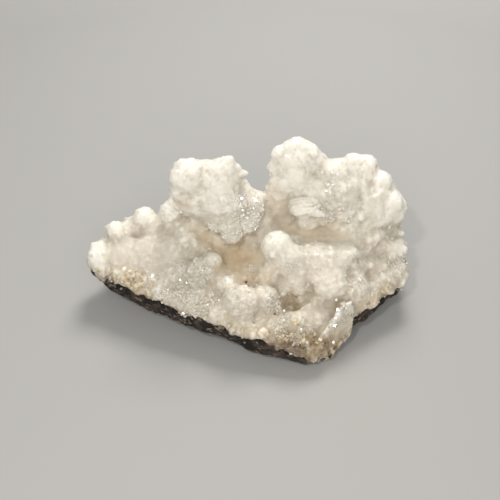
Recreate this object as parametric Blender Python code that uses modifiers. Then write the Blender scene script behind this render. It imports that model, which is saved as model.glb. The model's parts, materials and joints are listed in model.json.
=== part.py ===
"""A cabinet-size aragonite specimen: a knobbly white crust grown on a broken plate of dark rock.

The plate lies flat on the table on a level patch of its underside, and its rim is raised and undercut all
round. The crust sits on the plate. It is one growth: a low tail to the left, a two-headed knob and a
taller tower with a notch between them, a broad mass of rounded lobes to the right, and a lower front
mass with a hollow and a pit in it.

Frame: +Z up, front towards -Y, origin under the middle of the specimen at table height. Sizes below are
millimetres.
"""

import math
import random

import bmesh
import bpy
from mathutils import Matrix, Vector, noise

MM = 0.001

# Driving sizes
SEAT_GAP = 0.3
BELOW_SEAT = 3.0
CRUST_TRIANGLES = 7400
ROCK_TRIANGLES = 1700
CRUST_VOXEL = 0.7
ROCK_VOXEL = 0.9
SEED = 11

# The rock plate, as corners of its rim seen from above: x, y, and the height of the rim's lower edge
ROCK_RIM = [
    (-47.5, 5.5, 7.2),
    (-40.5, -4.6, 7.0),
    (-28.3, -10.8, 6.0),
    (-14.0, -17.4, 5.0),
    (0.0, -22.8, 3.6),
    (8.5, -25.4, 2.3),
    (15.0, -26.4, 1.4),
    (20.4, -24.9, 1.4),
    (26.2, -19.4, 2.0),
    (28.8, -15.2, 3.4),
    (33.6, -12.2, 4.4),
    (40.2, -6.2, 5.6),
    (44.9, -2.8, 6.8),
    (46.3, 1.8, 7.2),
    (45.5, 9.0, 6.6),
    (41.0, 16.5, 6.2),
    (31.0, 22.5, 5.6),
    (18.0, 25.5, 5.0),
    (3.0, 25.0, 5.2),
    (-12.0, 22.0, 5.6),
    (-26.0, 19.0, 6.0),
    (-38.0, 14.5, 6.6),
]
ROCK_FOOT_CENTRE = (2.0, -3.0)

# The rock's section, from the foot up: each ring's share of the rim
ROCK_FOOT_SHARE = 0.56
ROCK_UNDERSIDE_SHARE = 0.78
ROCK_LOWER_EDGE_SHARE = 0.97
ROCK_TOP_SHARE = 0.985
ROCK_FOOT_DEPTH = 1.5
ROCK_UNDERSIDE_RISE = 0.42
ROCK_BROKEN_FACE = 1.6
ROCK_ABOVE_SEAT = 2.0

# The rock's roughness: the size of its swells and chips, and how far they reach
ROCK_SWELLS = 7.0
ROCK_CHIPS = 3.2
ROCK_ROUGHNESS = 0.9

# The crust's lumps: x, y, z of the middle, then half the width, depth and height
TAIL = [
    (-42.2, 3.5, 13.4, 5.2, 5.0, 5.2),
    (-43.0, 8.0, 12.4, 4.0, 3.8, 4.0),
    (-38.5, 8.5, 18.4, 3.8, 3.6, 3.8),
    (-35.0, 9.5, 19.4, 2.4, 2.2, 2.4),
    (-36.5, 4.0, 13.8, 6.2, 6.0, 5.6),
    (-31.0, 11.5, 21.2, 2.2, 2.2, 3.2),
    (-28.3, 11.0, 19.8, 2.8, 2.8, 2.8),
    (-29.0, 4.5, 14.0, 7.2, 8.0, 6.0),
    (-23.0, 10.5, 23.0, 3.6, 3.6, 4.8),
    (-22.0, 3.5, 14.8, 7.2, 7.0, 6.0),
    (-17.0, 6.5, 18.6, 5.5, 5.5, 5.5),
    (-31.0, 12.0, 13.5, 9.0, 5.5, 6.5),
    (-20.0, 13.0, 15.0, 9.0, 6.0, 8.0),
    (-21.8, 12.0, 25.2, 2.8, 3.0, 3.0),
    (-20.0, 12.0, 27.5, 3.6, 3.6, 3.6),
    (-40.0, 0.0, 11.6, 4.2, 3.6, 2.8),
    (-34.0, -1.5, 12.0, 5.6, 4.4, 3.4),
    (-26.5, -4.0, 12.2, 6.0, 5.0, 3.4),
    (-20.0, -3.0, 14.4, 5.0, 5.0, 3.6),
    (-21.0, -8.6, 11.2, 5.0, 3.6, 2.4),
    (-15.5, -8.6, 12.4, 4.8, 4.4, 3.4),
]
LEFT_KNOB = [
    (-17.0, 10.5, 37.9, 5.3, 4.8, 5.2),
    (-19.0, 9.5, 34.0, 3.6, 3.6, 3.8),
    (-7.8, 11.0, 37.6, 5.4, 5.0, 5.2),
    (-12.0, 11.5, 38.7, 4.2, 4.0, 3.4),
    (-16.5, 10.0, 29.6, 3.8, 4.0, 4.6),
    (-7.6, 8.0, 30.4, 6.6, 6.0, 5.6),
    (-13.0, 10.5, 31.0, 5.6, 5.4, 6.0),
    (-5.2, 4.4, 21.6, 3.0, 2.8, 2.8),
    (-10.0, 6.2, 25.2, 3.2, 3.2, 2.6),
    (-5.6, 6.2, 24.6, 4.4, 3.6, 3.0),
    (-1.0, 7.0, 24.8, 4.0, 3.4, 3.2),
    (1.4, 13.0, 26.4, 4.0, 4.2, 4.0),
    (0.4, 9.8, 27.0, 3.6, 3.6, 3.8),
    (-2.8, 13.5, 29.4, 4.0, 4.0, 4.2),
    (3.4, 10.5, 21.2, 3.8, 3.6, 3.6),
    (-9.0, 14.0, 22.0, 9.5, 7.0, 12.0),
    (-3.0, 18.0, 17.0, 9.0, 6.0, 9.0),
]
TOWER = [
    (13.5, 17.0, 39.2, 5.8, 5.2, 6.0),
    (13.0, 17.0, 44.0, 2.2, 2.2, 2.4),
    (8.2, 17.0, 40.8, 2.4, 2.4, 2.6),
    (7.4, 16.5, 37.0, 2.6, 2.6, 2.6),
    (19.0, 17.0, 38.4, 2.6, 2.8, 3.0),
    (16.6, 17.0, 41.6, 2.8, 2.6, 2.6),
    (12.6, 13.5, 34.4, 5.0, 4.2, 4.6),
    (8.4, 14.5, 28.5, 3.6, 3.6, 9.0),
    (13.5, 17.0, 28.0, 6.4, 6.0, 11.0),
    (15.0, 20.0, 20.0, 9.0, 5.5, 11.0),
]
RIGHT_MASS = [
    (24.2, 15.2, 35.2, 4.6, 4.2, 4.8),
    (29.0, 16.5, 38.0, 3.0, 3.0, 3.0),
    (33.0, 16.5, 35.8, 3.6, 3.6, 3.8),
    (37.0, 15.0, 31.2, 4.2, 4.2, 4.2),
    (39.8, 12.5, 25.6, 5.2, 5.2, 5.6),
    (35.6, 11.0, 27.6, 6.6, 5.4, 6.6),
    (24.6, 10.0, 31.4, 5.2, 4.2, 4.8),
    (29.6, 12.5, 32.6, 3.8, 3.8, 4.2),
    (15.3, 8.8, 27.5, 4.2, 3.0, 2.5),
    (16.4, 9.2, 23.2, 3.4, 3.2, 3.2),
    (28.0, 9.0, 26.6, 4.6, 3.8, 4.6),
    (22.0, 10.2, 25.6, 5.0, 3.8, 4.8),
    (18.8, 12.6, 30.6, 3.6, 3.6, 4.6),
    (33.5, 8.4, 22.4, 5.0, 4.0, 3.8),
    (27.5, 7.8, 22.4, 5.0, 3.4, 3.0),
    (29.0, 17.0, 26.0, 11.0, 7.0, 10.0),
    (38.0, 13.5, 19.0, 6.5, 6.5, 8.0),
    (26.0, 19.0, 17.0, 13.0, 5.5, 8.0),
]
RIGHT_EDGE = [
    (36.0, 6.5, 19.0, 4.6, 4.4, 4.4),
    (41.6, 6.0, 15.4, 3.8, 4.2, 4.2),
    (42.4, 1.6, 10.8, 3.6, 3.6, 3.6),
    (41.8, -2.4, 9.8, 3.0, 2.8, 2.6),
    (37.0, 1.0, 12.6, 4.2, 4.2, 4.0),
    (32.6, 1.0, 14.6, 4.2, 4.6, 4.4),
    (38.6, -5.2, 9.0, 3.2, 3.0, 2.8),
    (33.8, -9.6, 8.2, 3.2, 3.0, 2.8),
    (29.6, -11.6, 8.2, 2.4, 2.4, 2.2),
    (42.0, 11.0, 12.0, 4.0, 4.6, 4.6),
]
FRONT_MASS = [
    (7.6, -2.6, 23.0, 3.9, 3.8, 4.0),
    (12.0, -4.4, 18.8, 5.2, 4.8, 4.8),
    (19.5, -2.2, 18.6, 6.6, 5.2, 4.8),
    (26.8, -1.6, 17.6, 5.2, 4.8, 4.6),
    (21.4, -7.6, 14.8, 7.0, 6.0, 5.2),
    (29.0, -7.6, 12.8, 4.8, 4.6, 4.4),
    (13.0, -8.8, 15.4, 3.4, 3.0, 2.8),
    (4.2, -12.8, 13.0, 3.1, 3.2, 4.0),
    (4.2, -6.6, 15.8, 3.2, 3.2, 4.4),
    (0.0, -6.6, 16.0, 1.9, 1.9, 1.9),
    (-6.3, -8.6, 15.2, 3.0, 2.8, 3.0),
    (-2.8, -14.4, 13.0, 4.7, 4.4, 4.6),
    (-10.4, -2.6, 18.4, 2.9, 2.8, 3.0),
    (-14.0, -5.4, 15.8, 4.4, 4.0, 4.2),
    (-7.4, -15.8, 9.8, 4.8, 3.8, 3.8),
    (18.0, -2.0, 12.0, 14.0, 8.0, 6.0),
    (0.0, -6.0, 10.0, 14.0, 10.0, 5.0),
]
FRONT_CORNER = [
    (3.3, -20.4, 8.6, 1.9, 1.8, 1.9),
    (-0.8, -19.6, 8.6, 2.4, 2.2, 2.2),
    (13.0, -18.6, 9.6, 4.6, 3.8, 3.8),
    (8.0, -18.8, 8.8, 3.8, 3.4, 3.0),
    (18.4, -17.0, 8.4, 4.4, 3.6, 2.8),
    (16.8, -22.2, 4.8, 4.4, 3.0, 3.2),
    (11.0, -22.4, 5.8, 3.8, 2.6, 2.4),
]
BACK = [
    (-38.0, 11.5, 11.5, 4.6, 3.6, 3.6),
    (-27.0, 16.5, 12.0, 5.6, 3.4, 4.4),
    (-15.0, 19.0, 13.0, 6.4, 3.6, 5.6),
    (-8.0, 18.0, 24.0, 6.0, 4.0, 6.0),
    (0.0, 21.5, 15.0, 6.0, 3.6, 6.0),
    (9.0, 22.0, 22.0, 5.2, 3.4, 6.0),
    (18.0, 22.5, 25.0, 6.0, 3.6, 6.4),
    (28.0, 21.0, 24.0, 5.6, 3.8, 6.2),
    (35.0, 18.5, 20.0, 5.4, 3.8, 6.4),
    (24.0, 22.5, 13.0, 6.4, 3.4, 5.0),
    (12.0, 23.5, 12.0, 6.0, 3.0, 4.4),
    (36.0, 17.5, 11.5, 5.0, 3.6, 4.0),
]

# The crust's floor between the lumps: x, y and the height of its surface there
FLOOR_POINTS = [
    (-42.0, 5.0, 14.8),
    (-37.0, 8.0, 17.8),
    (-30.0, 10.0, 19.2),
    (-23.0, 9.0, 21.2),
    (-38.0, 0.0, 14.8),
    (-34.0, 4.0, 17.6),
    (-31.0, 0.5, 16.4),
    (-26.0, 4.0, 18.8),
    (-22.0, 1.0, 18.2),
    (-30.0, -6.0, 13.4),
    (-22.0, -8.0, 13.4),
    (-16.0, -3.0, 17.0),
    (-13.0, -10.0, 13.2),
    (-9.0, -15.0, 11.4),
    (-14.0, 8.0, 24.0),
    (-10.0, 4.0, 20.0),
    (-5.0, 3.0, 16.6),
    (-2.0, 0.0, 15.4),
    (-6.0, -1.0, 16.0),
    (2.0, 3.5, 17.4),
    (-2.0, -4.0, 15.0),
    (4.0, 9.0, 21.5),
    (9.0, 8.0, 20.8),
    (17.0, 6.0, 20.4),
    (24.0, 5.0, 20.4),
    (30.0, 6.0, 22.0),
    (12.0, -6.6, 18.0),
    (19.5, -5.2, 20.2),
    (24.5, -4.8, 19.4),
    (29.5, -4.4, 17.4),
    (5.0, -11.0, 13.4),
    (-3.0, -12.0, 13.0),
    (12.0, -12.5, 10.2),
    (17.0, -12.6, 12.2),
    (22.4, -13.4, 10.8),
    (28.0, -10.6, 11.0),
    (33.0, -6.0, 13.0),
    (36.0, -1.0, 14.4),
    (35.0, 4.0, 18.0),
    (40.0, 3.0, 14.0),
    (41.0, 8.0, 16.0),
    (38.0, 11.0, 20.0),
    (8.0, -20.0, 8.8),
    (17.0, -21.0, 8.0),
    (-30.0, 14.0, 15.0),
    (-15.0, 16.0, 20.0),
    (0.0, 17.0, 22.0),
    (15.0, 18.0, 24.0),
    (28.0, 17.0, 24.0),
    (38.0, 14.0, 20.0),
]

# The rock's upper face: its level, its slopes to the side, front and back, and the front corner's dip
SEAT_LEVEL = 11.2
SIDE_SLOPE = -0.035
FRONT_SLOPE = 0.15
BACK_SLOPE = 0.03
CORNER_DIP = 4.4
CORNER_PLACE = (21.0, -23.0)
CORNER_WIDTH = (11.0, 8.0)

# How the crust's floor meets the rim and follows the points above
FLOOR_EDGE_SHARE = 0.985
FLOOR_EDGE_HEIGHT = 1.1
FLOOR_RISE_WIDTH = 4.0
FLOOR_BLUR = 0.5
FLOOR_PULL = 1.6
FLOOR_LEAST_RISE = 0.6
FLOOR_RINGS = 26
RIM_STEPS = 96

# Pointed crystals that stand out of the lumps: x, y, z of the foot, the way they point, length and width
CRYSTALS = [
    (-5.2, 11.0, 38.2, (1.0, 0.0, 0.06), 4.6, 3.4),
    (-6.0, 11.0, 35.2, (1.0, 0.0, -0.1), 4.6, 4.4),
    (-7.0, 11.0, 40.6, (0.72, 0.0, 0.7), 4.2, 4.0),
    (42.6, 1.6, 10.8, (1.0, 0.0, -0.1), 4.4, 4.0),
    (42.0, 6.0, 15.6, (1.0, 0.0, 0.0), 4.2, 3.6),
    (-31.2, 11.5, 20.8, (0.12, 0.0, 1.0), 5.2, 4.4),
]

# The plate beside the front corner, as the corners of its hull: its crest, then the foot of its faces
CREST = [
    (19.2, -21.6, 8.0),
    (21.7, -19.4, 10.2),
    (24.0, -16.8, 12.8),
    (25.6, -14.9, 14.1),
    (27.4, -13.9, 13.9),
    (28.6, -13.9, 11.0),
]
CREST_FOOT = [
    (28.6, -16.4, 6.9),
    (27.8, -18.3, 4.2),
    (24.4, -21.4, 2.5),
    (21.4, -23.4, 3.0),
    (18.6, -19.8, 5.2),
    (22.6, -16.0, 6.6),
    (26.6, -12.4, 8.0),
]

WARTS_PER_LUMP = 8
WART_SHARE = (0.30, 0.44)
WART_SUNK = 0.70
SMALLEST_WART = 1.1
LARGEST_WART = 2.4
SPIRAL_STEP = 2.4

# The blocks that cut the crust and the rock apart, and the one below table height
SEAT_BLOCK = (130.0, 90.0)
SEAT_BLOCK_TOP = 80.0
SEAT_BLOCK_BOTTOM = -40.0
TABLE_BLOCK = (150.0, 110.0, 40.0)

MATERIALS = {
    "aragonite": ((0.83, 0.80, 0.74), 0.45),
    "rock": ((0.16, 0.13, 0.11), 0.90),
}


def clear_scene():
    for old in list(bpy.data.objects):
        bpy.data.objects.remove(old)


def material(name):
    colour, roughness = MATERIALS[name]
    made = bpy.data.materials.new(name)
    made.use_nodes = True
    shader = made.node_tree.nodes["Principled BSDF"]
    shader.inputs["Base Color"].default_value = (*colour, 1.0)
    shader.inputs["Roughness"].default_value = roughness
    shader.inputs["Metallic"].default_value = 0.0
    return made


def collection(name, parent):
    made = bpy.data.collections.new(name)
    parent.children.link(made)
    return made


def object_from(bm, name, where):
    """A new object in the collection where, holding bm's mesh, which is in metres."""
    mesh = bpy.data.meshes.new(name)
    bm.to_mesh(mesh)
    bm.free()
    made = bpy.data.objects.new(name, mesh)
    where.objects.link(made)
    return made


def seat_height(x, y):
    """Height of the rock's upper face, on which the crust grew: uneven, and lower towards the front."""
    slope = SEAT_LEVEL + SIDE_SLOPE * x + FRONT_SLOPE * min(y, 0.0) + BACK_SLOPE * max(y, 0.0)
    across = (x - CORNER_PLACE[0]) / CORNER_WIDTH[0]
    along = (y - CORNER_PLACE[1]) / CORNER_WIDTH[1]
    corner = CORNER_DIP * math.exp(-across * across - along * along)
    swells = 0.5 * math.sin(0.31 * x) * math.cos(0.27 * y)
    ripples = 0.3 * math.sin(0.5 * x + 0.4 * y)
    return slope - corner + swells + ripples


class Shells:
    """Overlapping closed shells gathered as one mesh's vertices and faces, to be fused afterwards."""

    def __init__(self):
        self.verts = []
        self.faces = []
        self.balls = {level: self.ball(level) for level in (2, 3)}
        self.prism = self.six_sided_point()

    def listed(self, bm):
        """bm's vertices and faces as lists."""
        bm.verts.index_update()
        verts = [tuple(v.co) for v in bm.verts]
        faces = [tuple(v.index for v in f.verts) for f in bm.faces]
        bm.free()
        return verts, faces

    def ball(self, level):
        bm = bmesh.new()
        bmesh.ops.create_icosphere(bm, subdivisions=level, radius=1.0)
        return self.listed(bm)

    def six_sided_point(self):
        """A six-sided column, one wide and 0.6 high, with a blunt point on it that ends at 1."""
        bm = bmesh.new()
        for middle, depth, tip in ((0.3, 0.6, 0.5), (0.8, 0.42, 0.12)):
            place = Matrix.Translation((0, 0, middle))
            bmesh.ops.create_cone(
                bm, cap_ends=True, segments=6, radius1=0.5, radius2=tip, depth=depth, matrix=place
            )
        return self.listed(bm)

    def add(self, verts, faces):
        first = len(self.verts)
        self.verts += verts
        self.faces += [tuple(first + i for i in face) for face in faces]

    def lump(self, x, y, z, wide, deep, tall):
        verts, faces = self.balls[3 if wide > 2.5 else 2]
        placed = [(x + wide * a, y + deep * b, z + tall * c) for a, b, c in verts]
        self.add([tuple(v * MM for v in place) for place in placed], faces)

    def warts(self, rng, x, y, z, wide, deep, tall):
        """Small knobs over a lump's outside, on a spiral with a random turn, so that no two match."""
        turn = rng.uniform(0.0, math.tau)
        for i in range(WARTS_PER_LUMP):
            height = 1.0 - 1.5 * (i + 0.5) / WARTS_PER_LUMP
            ring = math.sqrt(1.0 - height * height)
            angle = turn + i * SPIRAL_STEP
            radius = min(wide, deep, tall) * rng.uniform(*WART_SHARE)
            radius = max(SMALLEST_WART, min(LARGEST_WART, radius))
            sunk = WART_SUNK * radius
            across = x + math.cos(angle) * ring * (wide - sunk)
            along = y + math.sin(angle) * ring * (deep - sunk)
            self.lump(across, along, z + height * (tall - sunk), radius, radius, radius)

    def crystal(self, x, y, z, points_to, length, width):
        """A six-sided crystal with a blunt point, standing on x, y, z and leaning the way it points."""
        turn = Vector((0, 0, 1)).rotation_difference(Vector(points_to).normalized()).to_matrix()
        foot = Vector((x, y, z))
        verts, faces = self.prism
        placed = [foot + turn @ Vector((width * a, width * b, length * c)) for a, b, c in verts]
        self.add([tuple(v * MM) for v in placed], faces)

    def hull(self, corners):
        bm = bmesh.new()
        for corner in corners:
            bm.verts.new(Vector(corner) * MM)
        bmesh.ops.convex_hull(bm, input=bm.verts[:])
        self.add(*self.listed(bm))

    def floor(self):
        """The crust's floor: rings drawn in from the rock's rim, lifted to their heights, closed below."""
        rim = resampled_rim(RIM_STEPS)
        cx, cy = ROCK_FOOT_CENTRE
        shares = [FLOOR_EDGE_SHARE * (1.0 - i / FLOOR_RINGS) for i in range(FLOOR_RINGS)]
        foot = drawn_in(rim, FLOOR_EDGE_SHARE)
        verts = [(x * MM, y * MM, (seat_height(x, y) - BELOW_SEAT) * MM) for x, y in foot]
        for share in shares:
            for (x, y), (rx, ry) in zip(drawn_in(rim, share), rim):
                inward = (FLOOR_EDGE_SHARE - share) * math.hypot(rx - cx, ry - cy)
                verts.append((x * MM, y * MM, floor_height(x, y, inward) * MM))
        top = len(verts)
        verts.append((cx * MM, cy * MM, floor_height(cx, cy, FLOOR_RISE_WIDTH) * MM))
        verts.append((cx * MM, cy * MM, (seat_height(cx, cy) - BELOW_SEAT) * MM))
        faces = []
        n = len(rim)
        for ring in range(len(shares)):
            for i in range(n):
                j = (i + 1) % n
                faces.append((ring * n + i, ring * n + j, (ring + 1) * n + j, (ring + 1) * n + i))
        for i in range(n):
            j = (i + 1) % n
            faces.append((len(shares) * n + i, len(shares) * n + j, top))
            faces.append((j, i, top + 1))
        self.add(verts, faces)

    def made(self, name, where):
        mesh = bpy.data.meshes.new(name)
        mesh.from_pydata(self.verts, [], self.faces)
        made = bpy.data.objects.new(name, mesh)
        where.objects.link(made)
        return made


def resampled_rim(count):
    """The rim's outline with count points at equal steps, as x and y."""
    corners = [(x, y) for x, y, low in ROCK_RIM]
    lengths = [math.dist(p, q) for p, q in zip(corners, corners[1:] + corners[:1])]
    points = []
    for k in range(count):
        left = k * sum(lengths) / count
        i = 0
        while left > lengths[i]:
            left -= lengths[i]
            i += 1
        (x0, y0), (x1, y1) = corners[i], corners[(i + 1) % len(corners)]
        share = left / lengths[i]
        points.append((x0 + share * (x1 - x0), y0 + share * (y1 - y0)))
    return points


def drawn_in(outline, share):
    cx, cy = ROCK_FOOT_CENTRE
    return [(cx + share * (x - cx), cy + share * (y - cy)) for x, y in outline]


def floor_height(x, y, inward):
    """Height of the crust's floor: a weighted mean of the points around, falling to an edge at the rim."""
    total = 0.0
    weights = 0.0
    for px, py, height in FLOOR_POINTS:
        weight = 1.0 / (FLOOR_BLUR + (x - px) ** 2 + (y - py) ** 2) ** FLOOR_PULL
        total += weight * height
        weights += weight
    rise = min(1.0, inward / FLOOR_RISE_WIDTH)
    rise = rise * (2.0 - rise)
    edge = seat_height(x, y) + FLOOR_EDGE_HEIGHT
    return edge + rise * max(FLOOR_LEAST_RISE, total / weights - edge)


def remeshed(obj, voxel, triangles):
    """Fuses obj's overlapping shells into one skin, then thins it to about that many triangles."""
    fuse = obj.modifiers.new("fuse", "REMESH")
    fuse.mode = "VOXEL"
    fuse.voxel_size = voxel * MM
    fuse.use_smooth_shade = True
    graph = bpy.context.evaluated_depsgraph_get()
    fused = obj.evaluated_get(graph).to_mesh()
    fused.calc_loop_triangles()
    share = triangles / len(fused.loop_triangles)
    obj.evaluated_get(graph).to_mesh_clear()
    thin = obj.modifiers.new("thin", "DECIMATE")
    thin.ratio = share
    return obj


def cut(obj, cutter):
    made = obj.modifiers.new("cut_" + cutter.name, "BOOLEAN")
    made.operation = "DIFFERENCE"
    made.object = cutter
    made.solver = "EXACT"


def hidden_cutter(obj):
    obj.hide_render = True
    obj.display_type = "WIRE"
    return obj


def make_seat_cutter(name, where, upwards, offset):
    """A block whose top, or underside if upwards, is the rock's uneven upper face, moved by offset."""
    bm = bmesh.new()
    bmesh.ops.create_grid(bm, x_segments=28, y_segments=20, size=0.5)
    bmesh.ops.triangulate(bm, faces=bm.faces[:], quad_method="FIXED")
    for v in bm.verts:
        x, y = v.co.x * SEAT_BLOCK[0], v.co.y * SEAT_BLOCK[1]
        v.co = Vector((x, y, seat_height(x, y) + offset)) * MM
    far = SEAT_BLOCK_TOP if upwards else SEAT_BLOCK_BOTTOM
    grown = bmesh.ops.extrude_face_region(bm, geom=bm.faces[:])
    for v in (g for g in grown["geom"] if isinstance(g, bmesh.types.BMVert)):
        v.co.z = far * MM
    bmesh.ops.recalc_face_normals(bm, faces=bm.faces[:])
    return hidden_cutter(object_from(bm, name, where))


def make_floor_cutter(where):
    """A block whose top is the table, which leaves the rock a level patch to lie on."""
    bm = bmesh.new()
    width, depth, thickness = (size * MM for size in TABLE_BLOCK)
    size = Matrix.Translation((0, 0, -0.5 * thickness)) @ Matrix.Diagonal((width, depth, thickness, 1.0))
    bmesh.ops.create_cube(bm, size=1.0, matrix=size)
    return hidden_cutter(object_from(bm, "table_level", where))


def rock_ring(share, height):
    """The rim's outline drawn in by share towards the foot, with height(x, y, low) as its z."""
    ring = []
    for x, y, low in ROCK_RIM:
        cx, cy = ROCK_FOOT_CENTRE
        px, py = cx + share * (x - cx), cy + share * (y - cy)
        ring.append(Vector((px, py, height(px, py, low))) * MM)
    return ring


def make_rock(where, cutters):
    """The plate: a level foot, a slanting underside, a steep broken rim, and a top cut to the seat."""
    rings = [
        rock_ring(ROCK_FOOT_SHARE, lambda x, y, low: -ROCK_FOOT_DEPTH),
        rock_ring(ROCK_UNDERSIDE_SHARE, lambda x, y, low: ROCK_UNDERSIDE_RISE * low),
        rock_ring(ROCK_LOWER_EDGE_SHARE, lambda x, y, low: low),
        rock_ring(1.0, lambda x, y, low: low + ROCK_BROKEN_FACE),
        rock_ring(ROCK_TOP_SHARE, lambda x, y, low: seat_height(x, y) + ROCK_ABOVE_SEAT),
    ]
    bm = bmesh.new()
    loops = [[bm.verts.new(p) for p in ring] for ring in rings]
    for lower, upper in zip(loops, loops[1:]):
        for i in range(len(lower)):
            j = (i + 1) % len(lower)
            bm.faces.new((lower[i], lower[j], upper[j], upper[i]))
    bm.faces.new(loops[0][::-1])
    bm.faces.new(loops[-1])
    bmesh.ops.recalc_face_normals(bm, faces=bm.faces[:])
    bmesh.ops.triangulate(bm, faces=bm.faces[:])
    bmesh.ops.subdivide_edges(bm, edges=bm.edges[:], cuts=3, use_grid_fill=True)
    bm.normal_update()
    for v in bm.verts:
        rough = noise.noise(v.co / (ROCK_SWELLS * MM)) + 0.6 * noise.noise(v.co / (ROCK_CHIPS * MM))
        v.co += v.normal * rough * ROCK_ROUGHNESS * MM
    rock = object_from(bm, "rock_matrix", where)
    remeshed(rock, ROCK_VOXEL, ROCK_TRIANGLES)
    cut(rock, cutters["lid"])
    cut(rock, cutters["floor"])
    rock.data.materials.append(material("rock"))
    return rock


def make_crust(where, cutters):
    """The floor, the lumps with their warts and the crystals, fused and cut just above the rock."""
    rng = random.Random(SEED)
    shells = Shells()
    shells.floor()
    for group in (LEFT_KNOB, TOWER, RIGHT_MASS, BACK):
        for lump in group:
            shells.lump(*lump)
            shells.warts(rng, *lump)
    for group in (TAIL, RIGHT_EDGE, FRONT_MASS, FRONT_CORNER):
        for lump in group:
            shells.lump(*lump)
    shells.hull(CREST + CREST_FOOT)
    for crystal in CRYSTALS:
        shells.crystal(*crystal)
    crust = shells.made("aragonite_crust", where)
    remeshed(crust, CRUST_VOXEL, CRUST_TRIANGLES)
    cut(crust, cutters["seat"])
    crust.data.materials.append(material("aragonite"))
    return crust


def main():
    clear_scene()
    root = bpy.context.scene.collection
    specimen = collection("aragonite_specimen", root)
    helpers = collection("cutters", root)
    cutters = {
        "seat": make_seat_cutter("seat_level", helpers, False, 0.5 * SEAT_GAP),
        "lid": make_seat_cutter("lid_level", helpers, True, -0.5 * SEAT_GAP),
        "floor": make_floor_cutter(helpers),
    }
    make_rock(specimen, cutters)
    make_crust(specimen, cutters)


main()
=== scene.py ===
"""An aragonite specimen: a milky, knobbly crust with fine crystals and honey-coloured hollows, on rock."""

import json
import math

import bmesh
import bpy
import numpy as np
from bpy.props import FloatProperty, FloatVectorProperty, IntProperty, PointerProperty
from bpy.types import Operator, Panel, PropertyGroup
from mathutils import Matrix, Vector
from mathutils import noise as noise3
from mathutils.bvhtree import BVHTree

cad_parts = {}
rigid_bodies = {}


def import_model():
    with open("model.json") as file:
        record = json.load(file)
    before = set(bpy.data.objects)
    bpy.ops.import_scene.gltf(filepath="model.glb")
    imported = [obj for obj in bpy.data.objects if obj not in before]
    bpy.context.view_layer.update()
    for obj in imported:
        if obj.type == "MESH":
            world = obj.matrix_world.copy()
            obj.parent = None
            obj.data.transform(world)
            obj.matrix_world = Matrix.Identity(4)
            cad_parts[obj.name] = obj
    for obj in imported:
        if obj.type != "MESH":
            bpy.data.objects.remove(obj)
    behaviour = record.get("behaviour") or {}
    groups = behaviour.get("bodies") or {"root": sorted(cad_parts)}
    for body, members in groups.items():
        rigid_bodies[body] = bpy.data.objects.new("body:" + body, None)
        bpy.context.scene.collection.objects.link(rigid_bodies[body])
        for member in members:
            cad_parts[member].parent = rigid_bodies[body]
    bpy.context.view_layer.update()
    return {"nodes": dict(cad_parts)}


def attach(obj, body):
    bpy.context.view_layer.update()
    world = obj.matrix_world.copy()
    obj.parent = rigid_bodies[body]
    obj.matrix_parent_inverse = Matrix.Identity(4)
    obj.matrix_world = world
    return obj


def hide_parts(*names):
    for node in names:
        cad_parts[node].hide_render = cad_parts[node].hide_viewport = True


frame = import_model()

bl_info = {
    "name": "Aragonite Specimen",
    "version": (1, 0, 0),
    "blender": (4, 5, 0),
    "location": "View3D > Sidebar > Specimen",
    "description": "Grows the crust, crystals and rock of an aragonite specimen around its solid model",
    "category": "Object",
}

MM = 0.001
BODY = "root"

# The photograph's frame, and the camera that took it
FRAME_PIXELS = 500
SENSOR_WIDTH = 36.0
AIM_HEIGHT = 20 * MM
NEAREST_SEEN = 0.01

# Grain of the skin as it is fused anew after the bumps, the lumps and the grains
BUMP_VOXEL = 0.42 * MM
LUMP_VOXEL = 0.38 * MM
GRAIN_VOXEL = 0.34 * MM
# Corners of a solid's triangles that are this close are one
SAME_PLACE = 0.002 * MM

# Low plates: how far from its middle a plate is raised, and the width of its edge in pixels
PLATE_REACH = 9 * MM
PLATE_EDGE = 2.6
# Growth lines: half their width and their depth, in millimetres
LINE_HALF_WIDTH = 0.28
LINE_DEPTH = 0.20
# Pixels between the places looked up along a crease, and along a growth line
LINE_STEP = 1.5
FINE_LINE_STEP = 1.0
# How many half widths or radii away a line and a pit still count
LINE_SEARCH = 4
PIT_SEARCH = 3
# Creases and pits fade out on faces that look down, the faster the larger this is, and so do loose grains
UNDERSIDE_FADE = 3.0
GRAIN_FADE = 4.0
# Growth starts where a face looks down less steeply than this, and is full this much further up
ROOM_FROM = 0.75
ROOM_FADE = 0.3

# Calm stretches: reach around the middle, edge in pixels, rounds of softening, and the share taken everywhere
CALM_REACH = 16 * MM
CALM_EDGE = 5.0
CALM_ROUNDS = 150
CALM_EVERYWHERE = 0.12

# The crust's rim over the rock: its width, and the height above which there is none
RIM_WIDTH = 2.6 * MM
RIM_CEILING = 20 * MM
# The rim's waves: their size and depth, how far they are shifted down, and the lowest that they may reach
FRINGE_SIZE = 3.2 * MM
FRINGE_DROP = 2.4 * MM
FRINGE_SHIFT = 0.25
EDGE_LOWEST = 0.4 * MM
# An overhang is at its full drop up to 0.4 of its reach, and gone at 1.4 of it
OVERHANG_END = 1.4

# A spot is at full strength up to 0.35 of its reach and gone at 1.35 of it, and looked up a little farther
SPOT_END = 1.35
SPOT_SEARCH = 1.5

# Roundness of the bumps and the specks of dirt, and how far a speck's middle is sunk, against its radius
BUMP_FACETS = 3
SPECK_FACETS = 2
SPECK_SINK = 0.4

# A pointed crystal's shaft and tip: start and end against its length, radius at each against its width
POINT_PARTS = [(-0.4, 0.45, 0.5, 0.46), (0.45, 1.0, 0.46, 0.10)]
# How far the two overlap, against the length
POINT_OVERLAP = 0.02

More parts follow.
